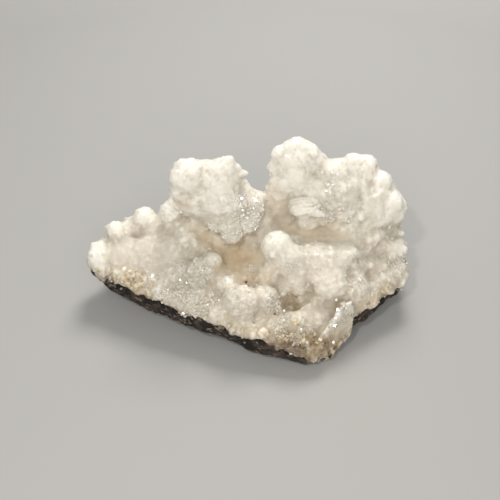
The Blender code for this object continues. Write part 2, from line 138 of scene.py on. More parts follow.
# Ranges of the random sizes, stretches and turns
NO_TURN = (0.0, 0.0, 0.0)
WHOLE_TURN = (math.tau, math.tau, math.tau)
LUMP_SIZES = (0.5, 1.0)
LUMP_STRETCH = ((0.7, 0.7, 0.7), (1.2, 1.2, 1.2))
GRAIN_BLOCK = (0.8, 0.8, 0.8)
GRAIN_STRETCH = ((0.25, 0.25, 0.25), (1.0, 1.0, 1.0))
# Fine crystals: lean and turn before the tilt, how far they are sunk, and width against length
CRYSTAL_TURNS = ((-1.0, -1.0, -3.1), (1.0, 1.0, 3.1))
CRYSTAL_TILT = 1.1
CRYSTAL_SIZES = (0.35, 1.0)
CRYSTAL_SINK = -0.22
CRYSTAL_WIDTH = 0.62

# Relief that the painted shade in the crevices and the painted highlight on the crests follow: rounds of
# softening, and the depth that counts as a full crevice
FINE_RELIEF = (8, 0.10 * MM)
BROAD_RELIEF = (60, 0.55 * MM)

# The ripple's noises: name, scale and detail, then how far each moves the crust
RIPPLES = (("Swell", 160.0, 1.0), ("Bump", 520.0, 2.0), ("Sugar", 1500.0, 2.0))
CRUST_RIPPLE = {"Swell": 0.5 * MM, "Bump": 0.45 * MM, "Sugar": 0.42 * MM}
# How far they move the rock, against its unevenness
ROCK_RIPPLE = {"Swell": 2.0, "Bump": 1.1, "Sugar": 0.3}

# Most points for each square metre, before spacing thins them
DENSEST = 1.0e7
# Glinting facets in the coat: how finely they are cut, and how far they tilt
FACET_SCALE = 1200.0
FACET_TILT = 1.1
# Heights between which the waxy foot of the crust turns to milk
WAX_TOP = 10 * MM
MILK_FROM = 31 * MM
# Heights between which the dust on the rock's lower edge fades
DUST_FULL = 1.2 * MM
DUST_TOP = 4.5 * MM

# Lamps: name, place, size, power and colour
LAMPS = [
    ("key_above_behind", (0.05, 0.25, 0.36), 0.16, 1.42, (1.0, 0.97, 0.92)),
    ("fill_front", (0.0, -0.32, 0.24), 0.30, 0.82, (1.0, 0.96, 0.90)),
    ("glints", (-0.10, -0.22, 0.34), 0.02, 0.36, (1.0, 0.98, 0.95)),
]
# The even light from all round, and the floor's size in metres
SKY_COLOUR = (0.86, 0.84, 0.80, 1.0)
SKY_STRENGTH = 0.40
FLOOR_SIZE = 8.0
# Distances from the middle, in metres, between which the floor fades into the background
FLOOR_NEAR = 0.20
FLOOR_FAR = 0.90

# Where the crust's edge hangs lower: middle x and y, reach, drop, shift in x and y, all in millimetres
OVERHANGS = [
    (-44.0, 2.0, 9.0, 2.8, -0.6, 0.0),
    (19.0, -25.0, 8.0, 2.0, 0.1, -0.5),
]

# Places below are the photograph's pixels, u and v, looked up from its camera, with sizes in millimetres

# Rounded bumps: u, v, radius, and the share of it that stands out
KNOB_BUMPS = [
    (186, 167, 3.4, 0.25), (176, 180, 3.0, 0.25), (195, 172, 2.4, 0.3), (190, 185, 3.0, 0.25),
    (212, 168, 3.0, 0.2), (225, 168, 3.0, 0.2), (196, 212, 1.9, 0.45), (193, 203, 1.5, 0.4),
    (195, 220, 1.8, 0.4), (213, 207, 3.4, 0.12), (236, 203, 1.1, 0.5), (240, 207, 1.0, 0.5),
    (245, 200, 1.3, 0.4), (243, 212, 1.1, 0.5), (250, 212, 1.0, 0.5), (254, 205, 1.2, 0.45),
    (256, 216, 1.3, 0.5), (262, 210, 1.2, 0.4), (248, 220, 1.2, 0.4), (213, 227, 1.2, 0.5),
    (212, 232, 1.0, 0.6), (222, 228, 1.6, 0.35), (232, 226, 1.8, 0.3), (240, 231, 1.1, 0.5),
    (228, 235, 1.0, 0.4), (250, 228, 1.8, 0.35), (258, 232, 1.4, 0.4), (246, 237, 1.2, 0.4),
    (236, 240, 1.0, 0.4), (233, 245, 1.5, 0.4), (228, 243, 1.0, 0.4), (254, 246, 1.2, 0.35),
]
TOWER_BUMPS = [
    (283, 162, 1.4, 0.4), (282, 168, 1.0, 0.5), (294, 173, 2.2, 0.3), (293, 177, 1.2, 0.4),
    (300, 178, 1.4, 0.3), (303, 163, 1.6, 0.35), (310, 166, 1.4, 0.35), (318, 171, 1.2, 0.35),
    (323, 167, 1.2, 0.35), (296, 165, 1.8, 0.25), (288, 160, 1.4, 0.35), (277, 150, 1.8, 0.35),
    (290, 146, 2.2, 0.3), (304, 146, 2.2, 0.3), (313, 152, 2.0, 0.3), (299, 155, 2.0, 0.25),
    (320, 160, 1.6, 0.3), (272, 172, 1.6, 0.3), (303, 222, 2.2, 0.3), (293.5, 227, 0.75, 0.7),
]
RIGHT_BUMPS = [
    (338, 183, 1.2, 0.4), (331, 192, 1.2, 0.4), (337, 195, 2.6, 0.25), (345, 185, 2.4, 0.2),
    (346, 203, 2.0, 0.25), (342, 208, 0.9, 0.5), (347, 219, 0.8, 0.6), (352, 212, 1.6, 0.25),
    (330, 215, 0.9, 0.5), (335, 172, 1.4, 0.35), (345, 172, 1.6, 0.35), (329, 172, 1.2, 0.35),
    (352, 161, 2.8, 0.35), (366, 164, 3.2, 0.38), (372, 174, 2.6, 0.2), (362, 178, 2.2, 0.2),
    (383, 179, 3.6, 0.38), (376, 190, 2.6, 0.2), (388, 195, 2.6, 0.2), (396, 203, 4.0, 0.38),
    (400, 212, 2.6, 0.25), (390, 212, 2.2, 0.2), (385, 222, 1.8, 0.25), (397, 222, 1.8, 0.3),
    (367, 198, 1.2, 0.35), (371, 210, 2.0, 0.15), (366, 223, 2.2, 0.15), (357, 283, 1.6, 0.4),
    (358, 278, 1.2, 0.4), (357, 273, 1.3, 0.3), (362, 255, 1.4, 0.3), (366, 262, 1.4, 0.3),
    (375, 252, 1.4, 0.3), (385, 266, 0.9, 0.5), (392, 255, 1.6, 0.4), (393, 266, 1.2, 0.4),
    (404, 250, 1.8, 0.5), (405, 277, 2.2, 0.5), (402, 266, 1.6, 0.5), (400, 218, 2.4, 0.35),
    (401, 238, 1.4, 0.5), (383, 277, 1.6, 0.3), (392, 282, 2.0, 0.3), (400, 272, 2.0, 0.3),
    (357, 300, 1.2, 0.4), (345, 298, 1.2, 0.35), (350, 292, 1.6, 0.3), (370, 240, 1.8, 0.3),
    (378, 238, 1.8, 0.3), (395, 240, 1.2, 0.4),
]
TAIL_BUMPS = [
    (115, 227, 2.8, 0.4), (127, 226, 1.8, 0.5), (146, 220, 3.2, 0.45), (154, 223, 2.6, 0.5),
    (137, 229, 3.4, 0.35), (127, 233, 3.2, 0.3), (150, 229, 3.4, 0.35), (119, 232, 3.2, 0.3),
    (168, 210, 3.2, 0.4), (171, 203, 2.0, 0.4), (97, 244, 2.8, 0.4), (94, 256, 3.0, 0.3),
    (98, 266, 2.6, 0.3), (183, 228, 1.6, 0.4), (183, 242, 2.2, 0.3), (173, 214, 1.5, 0.3),
    (196, 246, 1.6, 0.35), (190, 270, 1.6, 0.3), (180, 262, 2.0, 0.3), (192, 284, 1.8, 0.3),
    (180, 285, 1.5, 0.3), (175, 283, 0.8, 0.5), (195, 285, 0.9, 0.5), (199, 262, 0.8, 0.5),
    (201, 270, 1.2, 0.4), (205, 262, 1.5, 0.35),
]
FRONT_BUMPS = [
    (211, 256, 2.4, 0.2), (276, 246, 4.6, 0.12), (293, 245, 4.8, 0.34), (290, 254, 4.8, 0.28),
    (228, 281, 2.3, 0.35), (225, 276, 1.2, 0.4), (218, 285, 1.3, 0.35), (232, 287, 1.5, 0.3),
    (238, 304, 5.2, 0.26), (267, 294, 3.8, 0.22), (247, 318, 1.3, 0.4), (243, 324, 1.2, 0.4),
    (230, 318, 1.8, 0.25), (213, 302, 1.2, 0.4), (214, 310, 1.0, 0.4), (222, 300, 1.6, 0.3),
    (250, 272, 1.2, 0.35), (270, 302, 2.2, 0.35), (277, 306, 1.3, 0.4), (262, 305, 1.3, 0.3),
    (263, 333, 1.5, 0.25), (253, 334, 1.2, 0.4), (243, 335, 1.0, 0.35), (232, 330, 1.2, 0.35),
    (267, 316, 1.8, 0.2), (289, 322, 2.4, 0.3), (298, 325, 2.2, 0.35), (302, 332, 1.5, 0.45),
    (285, 334, 1.5, 0.45), (280, 340, 1.3, 0.4), (290, 340, 1.5, 0.4), (300, 318, 1.3, 0.4),
    (281, 320, 1.0, 0.5), (310, 330, 1.2, 0.4), (315, 300, 1.0, 0.4), (322, 307, 1.0, 0.4),
    (318, 312, 2.0, 0.15), (330, 318, 2.0, 0.15), (285, 262, 0.9, 0.35), (290, 268, 1.0, 0.3),
    (312, 264, 1.0, 0.3), (345, 265, 1.0, 0.3), (346, 283, 1.2, 0.3), (330, 283, 1.2, 0.3),
    (310, 342, 1.2, 0.45), (318, 350, 1.3, 0.45), (308, 353, 1.2, 0.45), (326, 352, 1.0, 0.45),
    (297, 352, 1.2, 0.4), (282, 350, 1.4, 0.35), (270, 344, 1.2, 0.35), (312, 351, 1.9, 0.7),
    (319, 347, 1.6, 0.7), (305, 345, 1.5, 0.6), (300, 338, 1.8, 0.6), (325, 349, 1.4, 0.6),
    (310, 338, 1.6, 0.6), (291, 337, 1.6, 0.6), (284, 335, 1.4, 0.6), (318, 339, 1.3, 0.6),
    (296, 345, 1.3, 0.5),
]
# The bright oval and other low plates: how far each stands out, then its outline
PLATES = [
    (0.4, [
        (288, 206), (291, 200), (298, 198), (308, 197), (317, 199), (322, 206), (317, 212), (307, 214),
        (296, 216), (290, 213),
    ]),
    (0.3, [(266, 180), (276, 176), (286, 181), (291, 190), (286, 199), (276, 200), (268, 192)]),
    (0.5, [(258, 333), (260, 329), (264, 328), (268, 330), (269, 334), (266, 338), (261, 338)]),
]
# Fine growth lines scored into the crust
GROWTH_LINES = [
    [(257, 333), (259, 328), (264, 326), (269, 329), (270, 335), (267, 340), (260, 339), (257, 333)],
    [(292, 202), (300, 200), (310, 200)],
    [(291, 206), (304, 203), (318, 203)],
    [(292, 209), (304, 207), (319, 206)],
    [(293, 213), (304, 211), (314, 210)],
    [(298, 158), (303, 165), (306, 172)],
    [(304, 156), (309, 163), (312, 170)],
    [(310, 155), (315, 161), (318, 167)],
    [(287, 185), (294, 189), (303, 191)],
    [(372, 172), (375, 182), (374, 192)],
    [(391, 206), (386, 212), (385, 218)],
]
# The crystal plate beside the front corner, x, y and z in millimetres: its crest, then the foot of its faces
FIN = [
    (19.2, -21.8, 8.0), (21.7, -19.6, 10.3), (24.0, -17.0, 12.9), (25.6, -15.1, 14.2), (27.4, -14.1, 14.0),
    (28.7, -14.1, 11.2), (28.7, -16.6, 6.9), (27.9, -18.5, 4.4), (24.5, -21.6, 3.0), (21.4, -23.6, 3.4),
    (18.6, -19.8, 5.2), (22.6, -16.4, 6.6), (26.6, -12.8, 8.0),
]
# Stretches that are calm between the lumps: how much of the relief goes, then the outline
CALM = [
    (0.9, [(296, 237), (322, 235), (350, 234), (358, 250), (330, 256), (298, 256)]),
    (0.6, [(180, 164), (200, 161), (203, 198), (184, 200)]),
    (0.6, [(88, 236), (104, 234), (112, 250), (106, 272), (90, 270)]),
    (0.7, [(176, 208), (200, 206), (214, 222), (206, 238), (180, 232)]),
    (0.85, [
        (94, 250), (106, 240), (122, 234), (136, 236), (150, 230), (163, 228), (172, 236), (180, 250),
        (172, 266), (152, 272), (128, 268), (104, 264),
    ]),
    (0.6, [
        (184, 172), (200, 166), (222, 166), (238, 172), (244, 190), (238, 206), (222, 212), (206, 208),
        (196, 194), (184, 190),
    ]),
    (0.8, [(190, 203), (214, 213), (236, 211), (248, 204), (250, 219), (232, 228), (210, 226), (192, 216)]),
    (0.5, [(284, 176), (302, 172), (320, 176), (326, 190), (316, 198), (296, 196)]),
    (0.8, [(360, 182), (384, 184), (400, 198), (404, 218), (384, 230), (362, 224)]),
    (0.6, [(344, 160), (366, 158), (384, 172), (380, 186), (360, 184), (345, 176)]),
    (0.6, [(280, 150), (300, 140), (316, 152), (322, 172), (300, 176), (282, 170)]),
    (0.75, [
        (296, 252), (318, 250), (342, 252), (354, 262), (350, 286), (324, 290), (304, 280), (296, 264),
    ]),
    (0.95, [(254, 262), (264, 258), (278, 260), (282, 272), (276, 284), (258, 284)]),
    (0.5, [(264, 232), (284, 230), (294, 244), (288, 258), (268, 256)]),
    (0.5, [(256, 308), (274, 306), (280, 318), (272, 330), (258, 326)]),
    (0.6, [(214, 318), (236, 322), (252, 326), (250, 336), (228, 332), (212, 326)]),
    (0.8, [(214, 270), (228, 266), (240, 270), (244, 284), (234, 294), (218, 292)]),
    (0.9, [(242, 264), (262, 264), (264, 280), (252, 286), (240, 280)]),
    (0.9, [(278, 278), (304, 278), (308, 296), (280, 297)]),
    (0.7, [(218, 290), (234, 284), (252, 290), (256, 318), (242, 326), (220, 316)]),
    (0.6, [(256, 282), (272, 284), (284, 300), (280, 312), (260, 312)]),
    (0.6, [(282, 236), (296, 236), (306, 250), (298, 260), (284, 256)]),
    (0.6, [(328, 180), (350, 178), (362, 190), (358, 212), (338, 216), (326, 200)]),
    (0.85, [(198, 240), (218, 240), (224, 252), (220, 272), (202, 270)]),
]
# Creases: half the width, the depth, and the pixels that each runs through
CREASES = [
    (0.7, 0.8, [(134, 223), (135, 229), (135, 233)]),
    (0.7, 0.9, [(161, 218), (162, 225), (163, 230)]),
    (1.5, 1.7, [(151, 207), (155, 211), (158, 216)]),
    (1.1, 1.3, [(136, 208), (134, 214)]),
    (0.7, 0.8, [(105, 230), (107, 238)]),
    (0.8, 0.5, [(201, 170), (201, 182), (199, 195)]),
    (1.0, 0.8, [(181, 195), (187, 193), (194, 196)]),
    (0.8, 0.7, [(199, 203), (200, 212)]),
    (2.0, 1.0, [(195, 228), (203, 238), (213, 243), (222, 246)]),
    (0.5, 0.5, [(222, 298), (226, 294), (233, 291)]),
    (0.5, 1.1, [(252, 290), (253, 300), (255, 312), (255, 322)]),
    (1.4, 1.2, [(306, 286), (311, 291), (305, 298)]),
    (2.0, 1.5, [(396, 234), (387, 242), (378, 250), (368, 257), (358, 262), (353, 271), (354, 279)]),
    (0.8, 0.8, [(369, 265), (369, 281)]),
    (0.7, 0.5, [(288, 188), (296, 192), (304, 195)]),
    (0.6, 0.3, [(289, 201), (288, 210), (292, 217), (300, 218), (309, 215), (318, 211)]),
    (0.8, 0.6, [(360, 176), (361, 190), (361, 206)]),
    (0.5, 0.9, [(361, 207), (357, 213), (353, 219), (347, 224), (342, 225), (338, 230)]),
    (0.5, 0.4, [(330, 178), (325, 188), (326, 200), (333, 209), (343, 213)]),
    (0.5, 0.35, [(338, 181), (333, 190), (334, 199), (341, 205)]),
    (1.0, 0.6, [(377, 168), (372, 182), (368, 196)]),
    (1.0, 0.6, [(392, 189), (386, 200), (384, 214)]),
    (0.9, 0.8, [(403, 224), (394, 229), (384, 229), (374, 231)]),
    (1.1, 1.6, [(317, 337), (325, 325), (332, 314), (338, 305)]),
    (0.6, 0.6, [(265, 192), (266, 201), (264, 212)]),
]
# Pits: u, v, radius and depth
PITS = [
    (248, 276, 2.8, 0.9), (290, 303, 2.6, 1.5), (285, 300, 1.7, 0.8), (297, 306, 1.5, 0.7),
    (288, 310, 1.4, 0.5), (246, 284, 1.2, 0.7), (311, 291, 1.4, 0.9), (306, 296, 1.0, 0.6),
]

# Spots that tint the crust: u, v, how far each reaches, and its strength
# Honey: partly the crust's own warm colour, partly painted warm shade in the hollows, the trough and the pit,
# where light reaches only through the crust
HONEY_AND_SHADE = [
    (225, 258, 4.5, 1.0), (238, 255, 5.0, 1.0), (250, 258, 4.0, 1.0), (235, 266, 4.0, 0.95),
    (222, 268, 3.0, 0.8), (256, 272, 2.6, 0.7), (264, 275, 2.6, 0.75), (246, 284, 2.6, 0.8),
    (268, 280, 2.0, 0.6), (241, 288, 2.0, 0.5), (205, 238, 3.5, 0.6), (212, 245, 3.0, 0.7),
    (248, 274, 3.2, 1.0), (241, 273, 2.6, 0.9), (200, 228, 3.0, 0.35), (184, 203, 3.0, 0.45),
    (207, 222, 1.5, 0.4), (273, 217, 2.6, 0.5), (283, 226, 2.6, 0.5), (295, 233, 2.4, 0.6),
    (308, 236, 2.8, 0.6), (322, 237, 2.8, 0.6), (335, 236, 2.6, 0.6), (345, 236, 1.8, 0.4),
    (330, 225, 2.2, 0.5), (318, 224, 1.8, 0.4), (275, 200, 3.0, 0.45), (272, 190, 2.5, 0.3),
    (283, 208, 2.6, 0.4), (291, 304, 2.8, 0.8), (311, 291, 2.0, 0.6), (225, 322, 2.4, 0.35),
    (240, 330, 2.5, 0.5), (252, 333, 2.5, 0.5), (264, 332, 2.5, 0.7), (267, 317, 2.0, 0.45),
    (283, 347, 2.5, 0.8), (335, 335, 2.5, 0.4),
]
# Grey: the glassier, greyer parts of the crust; the spots on the tail's slope are painted shade
GREY = [
    (190, 250, 5.0, 0.7), (203, 226, 3.0, 0.7), (240, 305, 5.0, 0.9), (277, 247, 2.6, 0.3),
    (346, 300, 3.0, 0.5), (395, 264, 4.0, 0.3), (248, 276, 3.4, 1.0), (252, 208, 4.0, 0.4),
    (262, 276, 2.5, 0.4), (186, 222, 3.0, 0.4), (330, 205, 3.0, 0.7), (337, 198, 4.0, 0.8),
    (355, 190, 2.5, 0.6), (372, 196, 4.0, 0.35), (350, 205, 3.0, 0.6), (330, 218, 2.0, 0.6),
    (325, 190, 2.0, 0.5), (323, 312, 3.5, 0.6), (332, 318, 2.5, 0.5), (183, 250, 4.0, 0.35),
    (187, 285, 3.0, 0.45), (205, 280, 3.0, 0.4), (170, 235, 2.0, 0.3), (365, 265, 3.0, 0.5),
    (372, 280, 3.0, 0.5), (375, 255, 2.5, 0.55), (387, 243, 2.0, 0.5), (352, 272, 2.0, 0.3),
    (120, 245, 4.0, 0.5), (140, 250, 5.0, 0.5), (160, 250, 4.0, 0.5), (150, 255, 6.0, 0.75),
    (195, 282, 6.0, 0.85), (222, 211, 5.0, 0.5), (175, 232, 3.0, 0.4), (212, 262, 2.0, 0.3),
    (228, 300, 3.0, 0.4), (311, 291, 2.5, 0.6), (299, 322, 4.0, 0.5), (268, 297, 3.0, 0.4),
    (318, 262, 5.0, 0.3), (369, 272, 2.5, 0.8), (350, 293, 2.5, 0.35), (205, 195, 3.0, 0.3),
    (225, 198, 3.0, 0.35), (240, 215, 2.0, 0.3),
]
CREAM = [
    (98, 272, 2.0, 0.4), (113, 278, 2.0, 0.8), (125, 281, 2.5, 0.8), (135, 280, 3.0, 0.6),
    (137, 287, 2.5, 0.8), (147, 289, 2.2, 0.7), (128, 272, 1.8, 0.4), (383, 293, 2.0, 0.5),
    (375, 300, 2.5, 0.45), (368, 305, 2.5, 0.45), (358, 314, 2.2, 0.7), (390, 288, 2.0, 0.4),
    (290, 335, 2.5, 0.7), (283, 340, 2.5, 0.8), (300, 338, 2.5, 0.9), (310, 340, 2.5, 1.0),
    (318, 347, 3.0, 1.0), (308, 352, 3.0, 1.0), (325, 345, 2.5, 1.0), (300, 347, 2.0, 1.0),
    (330, 350, 2.0, 0.9), (295, 324, 3.0, 0.5), (272, 345, 2.5, 0.7), (262, 342, 2.5, 0.5),
    (250, 338, 2.0, 0.4),
]
# Brown spots: dirt at the front corner, and painted shade in its hollows between the grains and in the pit
BROWN_DIRT_AND_SHADE = [
    (314, 345, 3.4, 0.85), (330, 342, 2.6, 0.5), (308, 353, 2.4, 0.6), (296, 345, 2.0, 0.4),
    (290, 346, 3.8, 1.0), (300, 349, 3.0, 0.9), (325, 345, 2.4, 0.9), (278, 345, 3.0, 0.8),
    (312, 341, 2.0, 0.7), (250, 275, 3.0, 0.45), (312, 290, 2.4, 0.2), (268, 342, 2.4, 0.5),
    (291, 303, 2.6, 0.5), (295, 345, 3.2, 0.6), (312, 344, 2.2, 0.5), (288, 343, 2.4, 0.5),
    (285, 347, 3.0, 0.6), (310, 353, 3.0, 0.5), (322, 350, 2.5, 0.5), (275, 346, 2.5, 0.5),
    (297, 345, 1.8, 1.0), (302, 348, 1.2, 1.0), (290, 352, 2.5, 0.7), (325, 343, 0.8, 1.0),
    (322, 335, 1.0, 0.6), (300, 357, 2.0, 0.6), (315, 336, 1.2, 0.5), (133, 280, 0.7, 0.8),
    (129, 279, 0.6, 0.7), (356, 322, 1.2, 0.9), (384, 296, 1.0, 0.8), (285, 349, 2.5, 0.7),
    (297, 351, 2.0, 0.7), (275, 345, 2.5, 0.6), (265, 341, 2.0, 0.4), (330, 344, 2.0, 0.4),
    (340, 336, 2.0, 0.3), (305, 344, 1.6, 0.7),
]
# Whiter crust with painted highlight, on the tops, the backlit rims and the fin's edge
WHITE_AND_HIGHLIGHT = [
    (215, 188, 5.0, 0.7), (364, 165, 6.0, 1.0), (290, 148, 5.0, 0.9), (312, 150, 4.0, 0.9),
    (300, 163, 4.0, 0.5), (360, 161, 4.0, 0.9), (383, 178, 4.0, 0.9), (398, 200, 4.0, 1.0),
    (390, 215, 4.0, 0.9), (404, 212, 3.0, 1.0), (405, 250, 3.0, 0.8), (407, 276, 3.0, 0.9),
    (399, 262, 3.0, 0.5), (395, 241, 3.0, 0.5), (92, 255, 4.0, 1.0), (97, 266, 3.0, 0.8),
    (97, 245, 3.0, 0.9), (215, 163, 4.0, 0.7), (190, 164, 4.0, 0.7), (180, 176, 3.0, 0.8),
    (113, 226, 2.5, 0.8), (144, 214, 2.5, 0.8), (169, 208, 3.0, 0.7), (305, 206, 3.0, 0.7),
    (277, 239, 3.0, 0.4), (346, 307, 1.8, 1.0), (339, 315, 1.6, 1.0), (331, 325, 1.4, 0.9),
    (324, 333, 1.2, 0.7), (228, 278, 1.5, 0.8), (160, 293, 3.0, 0.7), (180, 301, 3.0, 0.4),
    (370, 300, 3.0, 0.4), (225, 231, 3.0, 0.4), (245, 230, 3.0, 0.4), (338, 184, 1.6, 0.5),
]
# Spots that the lumps, the grains and the sugar keep off
SMOOTH = [
    (228, 258, 5.5, 1.0), (240, 258, 5.5, 1.0), (252, 262, 4.0, 1.0), (262, 272, 3.0, 0.8),
    (205, 238, 4.0, 0.7), (275, 222, 4.0, 1.0), (290, 230, 4.0, 1.0), (305, 235, 4.0, 1.0),
    (320, 236, 4.0, 1.0), (335, 236, 4.0, 1.0), (275, 200, 4.0, 0.8), (303, 222, 3.0, 0.8),
    (292, 304, 2.6, 1.0), (97, 255, 5.0, 0.5), (125, 250, 6.0, 0.85), (145, 247, 6.0, 0.8),
    (162, 252, 5.0, 0.7), (112, 262, 4.0, 0.7), (305, 262, 6.0, 0.5), (330, 265, 6.0, 0.5),
    (325, 313, 4.0, 0.6), (340, 330, 3.0, 1.0), (346, 316, 2.2, 0.9), (334, 340, 2.4, 0.8),
    (305, 206, 3.4, 0.9), (296, 206, 2.4, 0.9), (315, 205, 2.4, 0.9), (340, 190, 3.0, 0.5),
]
# Spots where fine crystals stand close together and glint
DRUSY = [
    (215, 230, 2.5, 0.8), (228, 235, 3.0, 1.0), (240, 232, 3.0, 1.0), (252, 228, 3.0, 0.8),
    (245, 205, 3.5, 0.7), (256, 212, 3.0, 0.7), (197, 262, 2.5, 1.0), (203, 272, 3.0, 1.0),
    (178, 272, 3.0, 0.6), (175, 284, 2.5, 0.9), (195, 285, 3.0, 0.8), (165, 292, 3.5, 0.8),
    (185, 300, 4.0, 1.0), (198, 308, 3.5, 1.0), (213, 302, 2.5, 1.0), (150, 282, 3.0, 0.6),
    (271, 302, 2.5, 1.0), (278, 307, 2.0, 1.0), (250, 270, 1.5, 1.0), (228, 276, 1.5, 0.7),
    (285, 322, 2.5, 0.9), (283, 333, 2.5, 1.0), (302, 328, 2.5, 1.0), (297, 337, 2.5, 1.0),
    (318, 208, 1.5, 1.0), (347, 219, 1.5, 0.9), (342, 208, 1.5, 0.8), (330, 215, 2.0, 0.6),
    (357, 280, 2.5, 0.8), (393, 262, 3.0, 0.6), (345, 312, 3.0, 0.8), (332, 325, 2.0, 0.8),
    (310, 290, 2.0, 0.6), (290, 262, 2.0, 0.5), (335, 185, 3.0, 0.4),
]
# Specks of dark dirt: u, v and radius
SPECKS = [
    (246, 282, 0.45), (248, 286, 0.3), (244, 287, 0.13), (250, 284, 0.12), (226, 264, 0.18),
    (275, 314, 0.35), (254, 323, 0.23), (249, 292, 0.16), (256, 327, 0.13), (235, 209, 0.18),
    (267, 201, 0.2), (260, 213, 0.14), (249, 208, 0.2), (254, 206, 0.13), (187, 176, 0.1), (296, 297, 0.2),
    (297, 304, 0.2), (387, 233, 0.14), (393, 266, 0.14), (358, 263, 0.18), (334, 254, 0.13),
    (337, 257, 0.12), (224, 297, 0.13), (144, 229, 0.13), (325, 343, 0.4), (328, 347, 0.16),
    (321, 334, 0.16), (300, 346, 0.35), (304, 348, 0.3), (131, 282, 0.16), (134, 283, 0.16),
    (128, 279, 0.13), (138, 275, 0.13), (288, 331, 0.13), (299, 357, 0.2), (306, 357, 0.16),
]
# Pointed crystals: x, y, z of the foot, the way they point, length and width
POINTS = [
    (-30.8, 11.8, 20.5, (0.15, 0.0, 1.0), 4.6, 4.2),
    (-29.4, 11.5, 19.2, (0.55, 0.0, 0.8), 3.8, 4.4),
    (-5.6, 11.0, 38.3, (1.0, 0.0, 0.06), 5.2, 4.6),
    (-5.6, 11.0, 40.0, (1.0, 0.0, 0.3), 3.4, 3.6),
    (-7.6, 11.0, 40.6, (0.62, 0.0, 0.8), 4.6, 4.8),
    (-5.0, 10.8, 35.6, (1.0, 0.0, 0.05), 4.6, 4.0),
    (43.4, 4.6, 14.4, (1.0, 0.0, 0.3), 2.6, 2.8),
    (42.8, 9.6, 17.2, (1.0, 0.0, 0.2), 2.6, 2.6),
    (18.2, 6.6, 28.2, (0.9, -0.4, 0.0), 3.2, 2.8),
    (31.0, 7.0, 27.0, (0.2, -0.9, 0.1), 2.6, 3.4),
]

# Growths: mask, spread and share sunk against the radius, subdivisions (1 for blunt blocks), and seed
LUMPS = {"Where": "room", "Spread": 1.5, "Sunk": 0.74, "Facets": 2, "Seed": 3}
GRAINS = {"Where": "room", "Spread": 1.1, "Sunk": 0.50, "Facets": 1, "Seed": 8}
ROCK_CHIPS = {"Where": "room", "Spread": 0.9, "Sunk": 0.68, "Facets": 1, "Seed": 2}
# The last growths follow spots: their strength, and the largest radius against that of the grains
LAST_GROWTHS = [
    (WHITE_AND_HIGHLIGHT, 1.0, 1.15, {"Where": "bright", "Spread": 1.3, "Sunk": 0.68, "Facets": 2, "Seed": 12}),
    (CREAM, 0.5, 1.2, {"Where": "cream", "Spread": 1.2, "Sunk": 0.30, "Facets": 1, "Seed": 9}),
    (DRUSY, 0.6, 0.70, {"Where": "drusy", "Spread": 1.15, "Sunk": 0.15, "Facets": 1, "Seed": 5}),
]
# Masks that the materials read, and the spots each is made from
SPOT_MASKS = {"bright": WHITE_AND_HIGHLIGHT, "honey": HONEY_AND_SHADE, "grey": GREY, "cream": CREAM, "brown": BROWN_DIRT_AND_SHADE, "drusy": DRUSY}


def length_setting(name, description, default):
    return FloatProperty(name=name, description=description, default=default, unit="LENGTH")


def share_setting(name, description, default):
    return FloatProperty(name=name, description=description, default=default)


def colour_setting(name, description, default):
    return FloatVectorProperty(name=name, description=description, subtype="COLOR", default=default)


def count_setting(name, description, default):
    return IntProperty(name=name, description=description, default=default)


class SpecimenCrust(PropertyGroup):
    base_voxel: length_setting("Base voxel", "Grain of the first fused skin", 0.5 * MM)
    skin_voxel: length_setting("Skin voxel", "Grain of the finished skin before it is thinned", 0.30 * MM)
    lump_radius: length_setting("Lump radius", "Largest radius of the lumps that grow on the knobs", 1.5 * MM)
    grain_radius: length_setting("Grain radius", "Largest radius of the grains on the lumps", 0.80 * MM)
    triangles: count_setting("Triangles", "Triangles that the skin is thinned to", 195000)
    milk: colour_setting("Milk", "Colour of the knobs and the tower", (0.87, 0.84, 0.765))
    wax: colour_setting("Wax", "Colour of the crust near the rock", (0.62, 0.56, 0.455))
    # Honey: the crust's warm colour, and painted warm shade in the hollows
    honey: colour_setting("Honey", "Colour of the smooth hollows", (0.60, 0.475, 0.31))
    grey: colour_setting("Grey", "Colour of the glassier parts", (0.54, 0.50, 0.42))
    cream: colour_setting("Cream", "Colour of the grains at the rim", (0.56, 0.43, 0.24))
    # Whiter crust, and painted highlight on the crests and the brightest spots
    bright: colour_setting("Bright", "Colour of the whitest crests", (0.95, 0.925, 0.86))
    # Painted shade, laid into the crevices
    shade: colour_setting("Shade", "Colour in the crevices", (0.44, 0.36, 0.26))
    # Dark brown: dirt between the grains, at the rim and in the specks, and painted shade on the brown spots
    dirt_and_shade: colour_setting("Dirt", "Colour of the dirt between the grains", (0.13, 0.075, 0.03))


class SpecimenCrystals(PropertyGroup):
    spacing: length_setting("Spacing", "Least distance between two crystals", 0.62 * MM)
    length: length_setting("Length", "Longest crystal", 1.25 * MM)
    thick: share_setting("Thick", "How thickly crystals stand in the glinting patches", 0.95)
    sparse: share_setting("Sparse", "How thickly crystals stand outside the glinting patches", 0.02)
    seed: count_setting("Seed", "Seed of the crystals' places", 4)


class SpecimenGrains(PropertyGroup):
    spacing: length_setting("Spacing", "Least distance between grains", 0.85 * MM)
    size: length_setting("Size", "Size of the largest grains", 1.35 * MM)
    thick: share_setting("Thick", "How thickly grains lie in the cream patches", 0.32)
    along_rim: share_setting("Along rim", "How thickly grains lie all along the rim", 0.10)
    seed: count_setting("Seed", "Seed of the grains' places", 6)
    pale: colour_setting("Pale", "Colour of the palest grains", (0.70, 0.62, 0.48))
    yellow: colour_setting("Yellow", "Colour of the yellow grains", (0.58, 0.49, 0.34))
    brown: colour_setting("Brown", "Colour of the brown grains", (0.44, 0.33, 0.20))
    black: colour_setting("Black", "Colour of the darkest grains", (0.11, 0.075, 0.045))


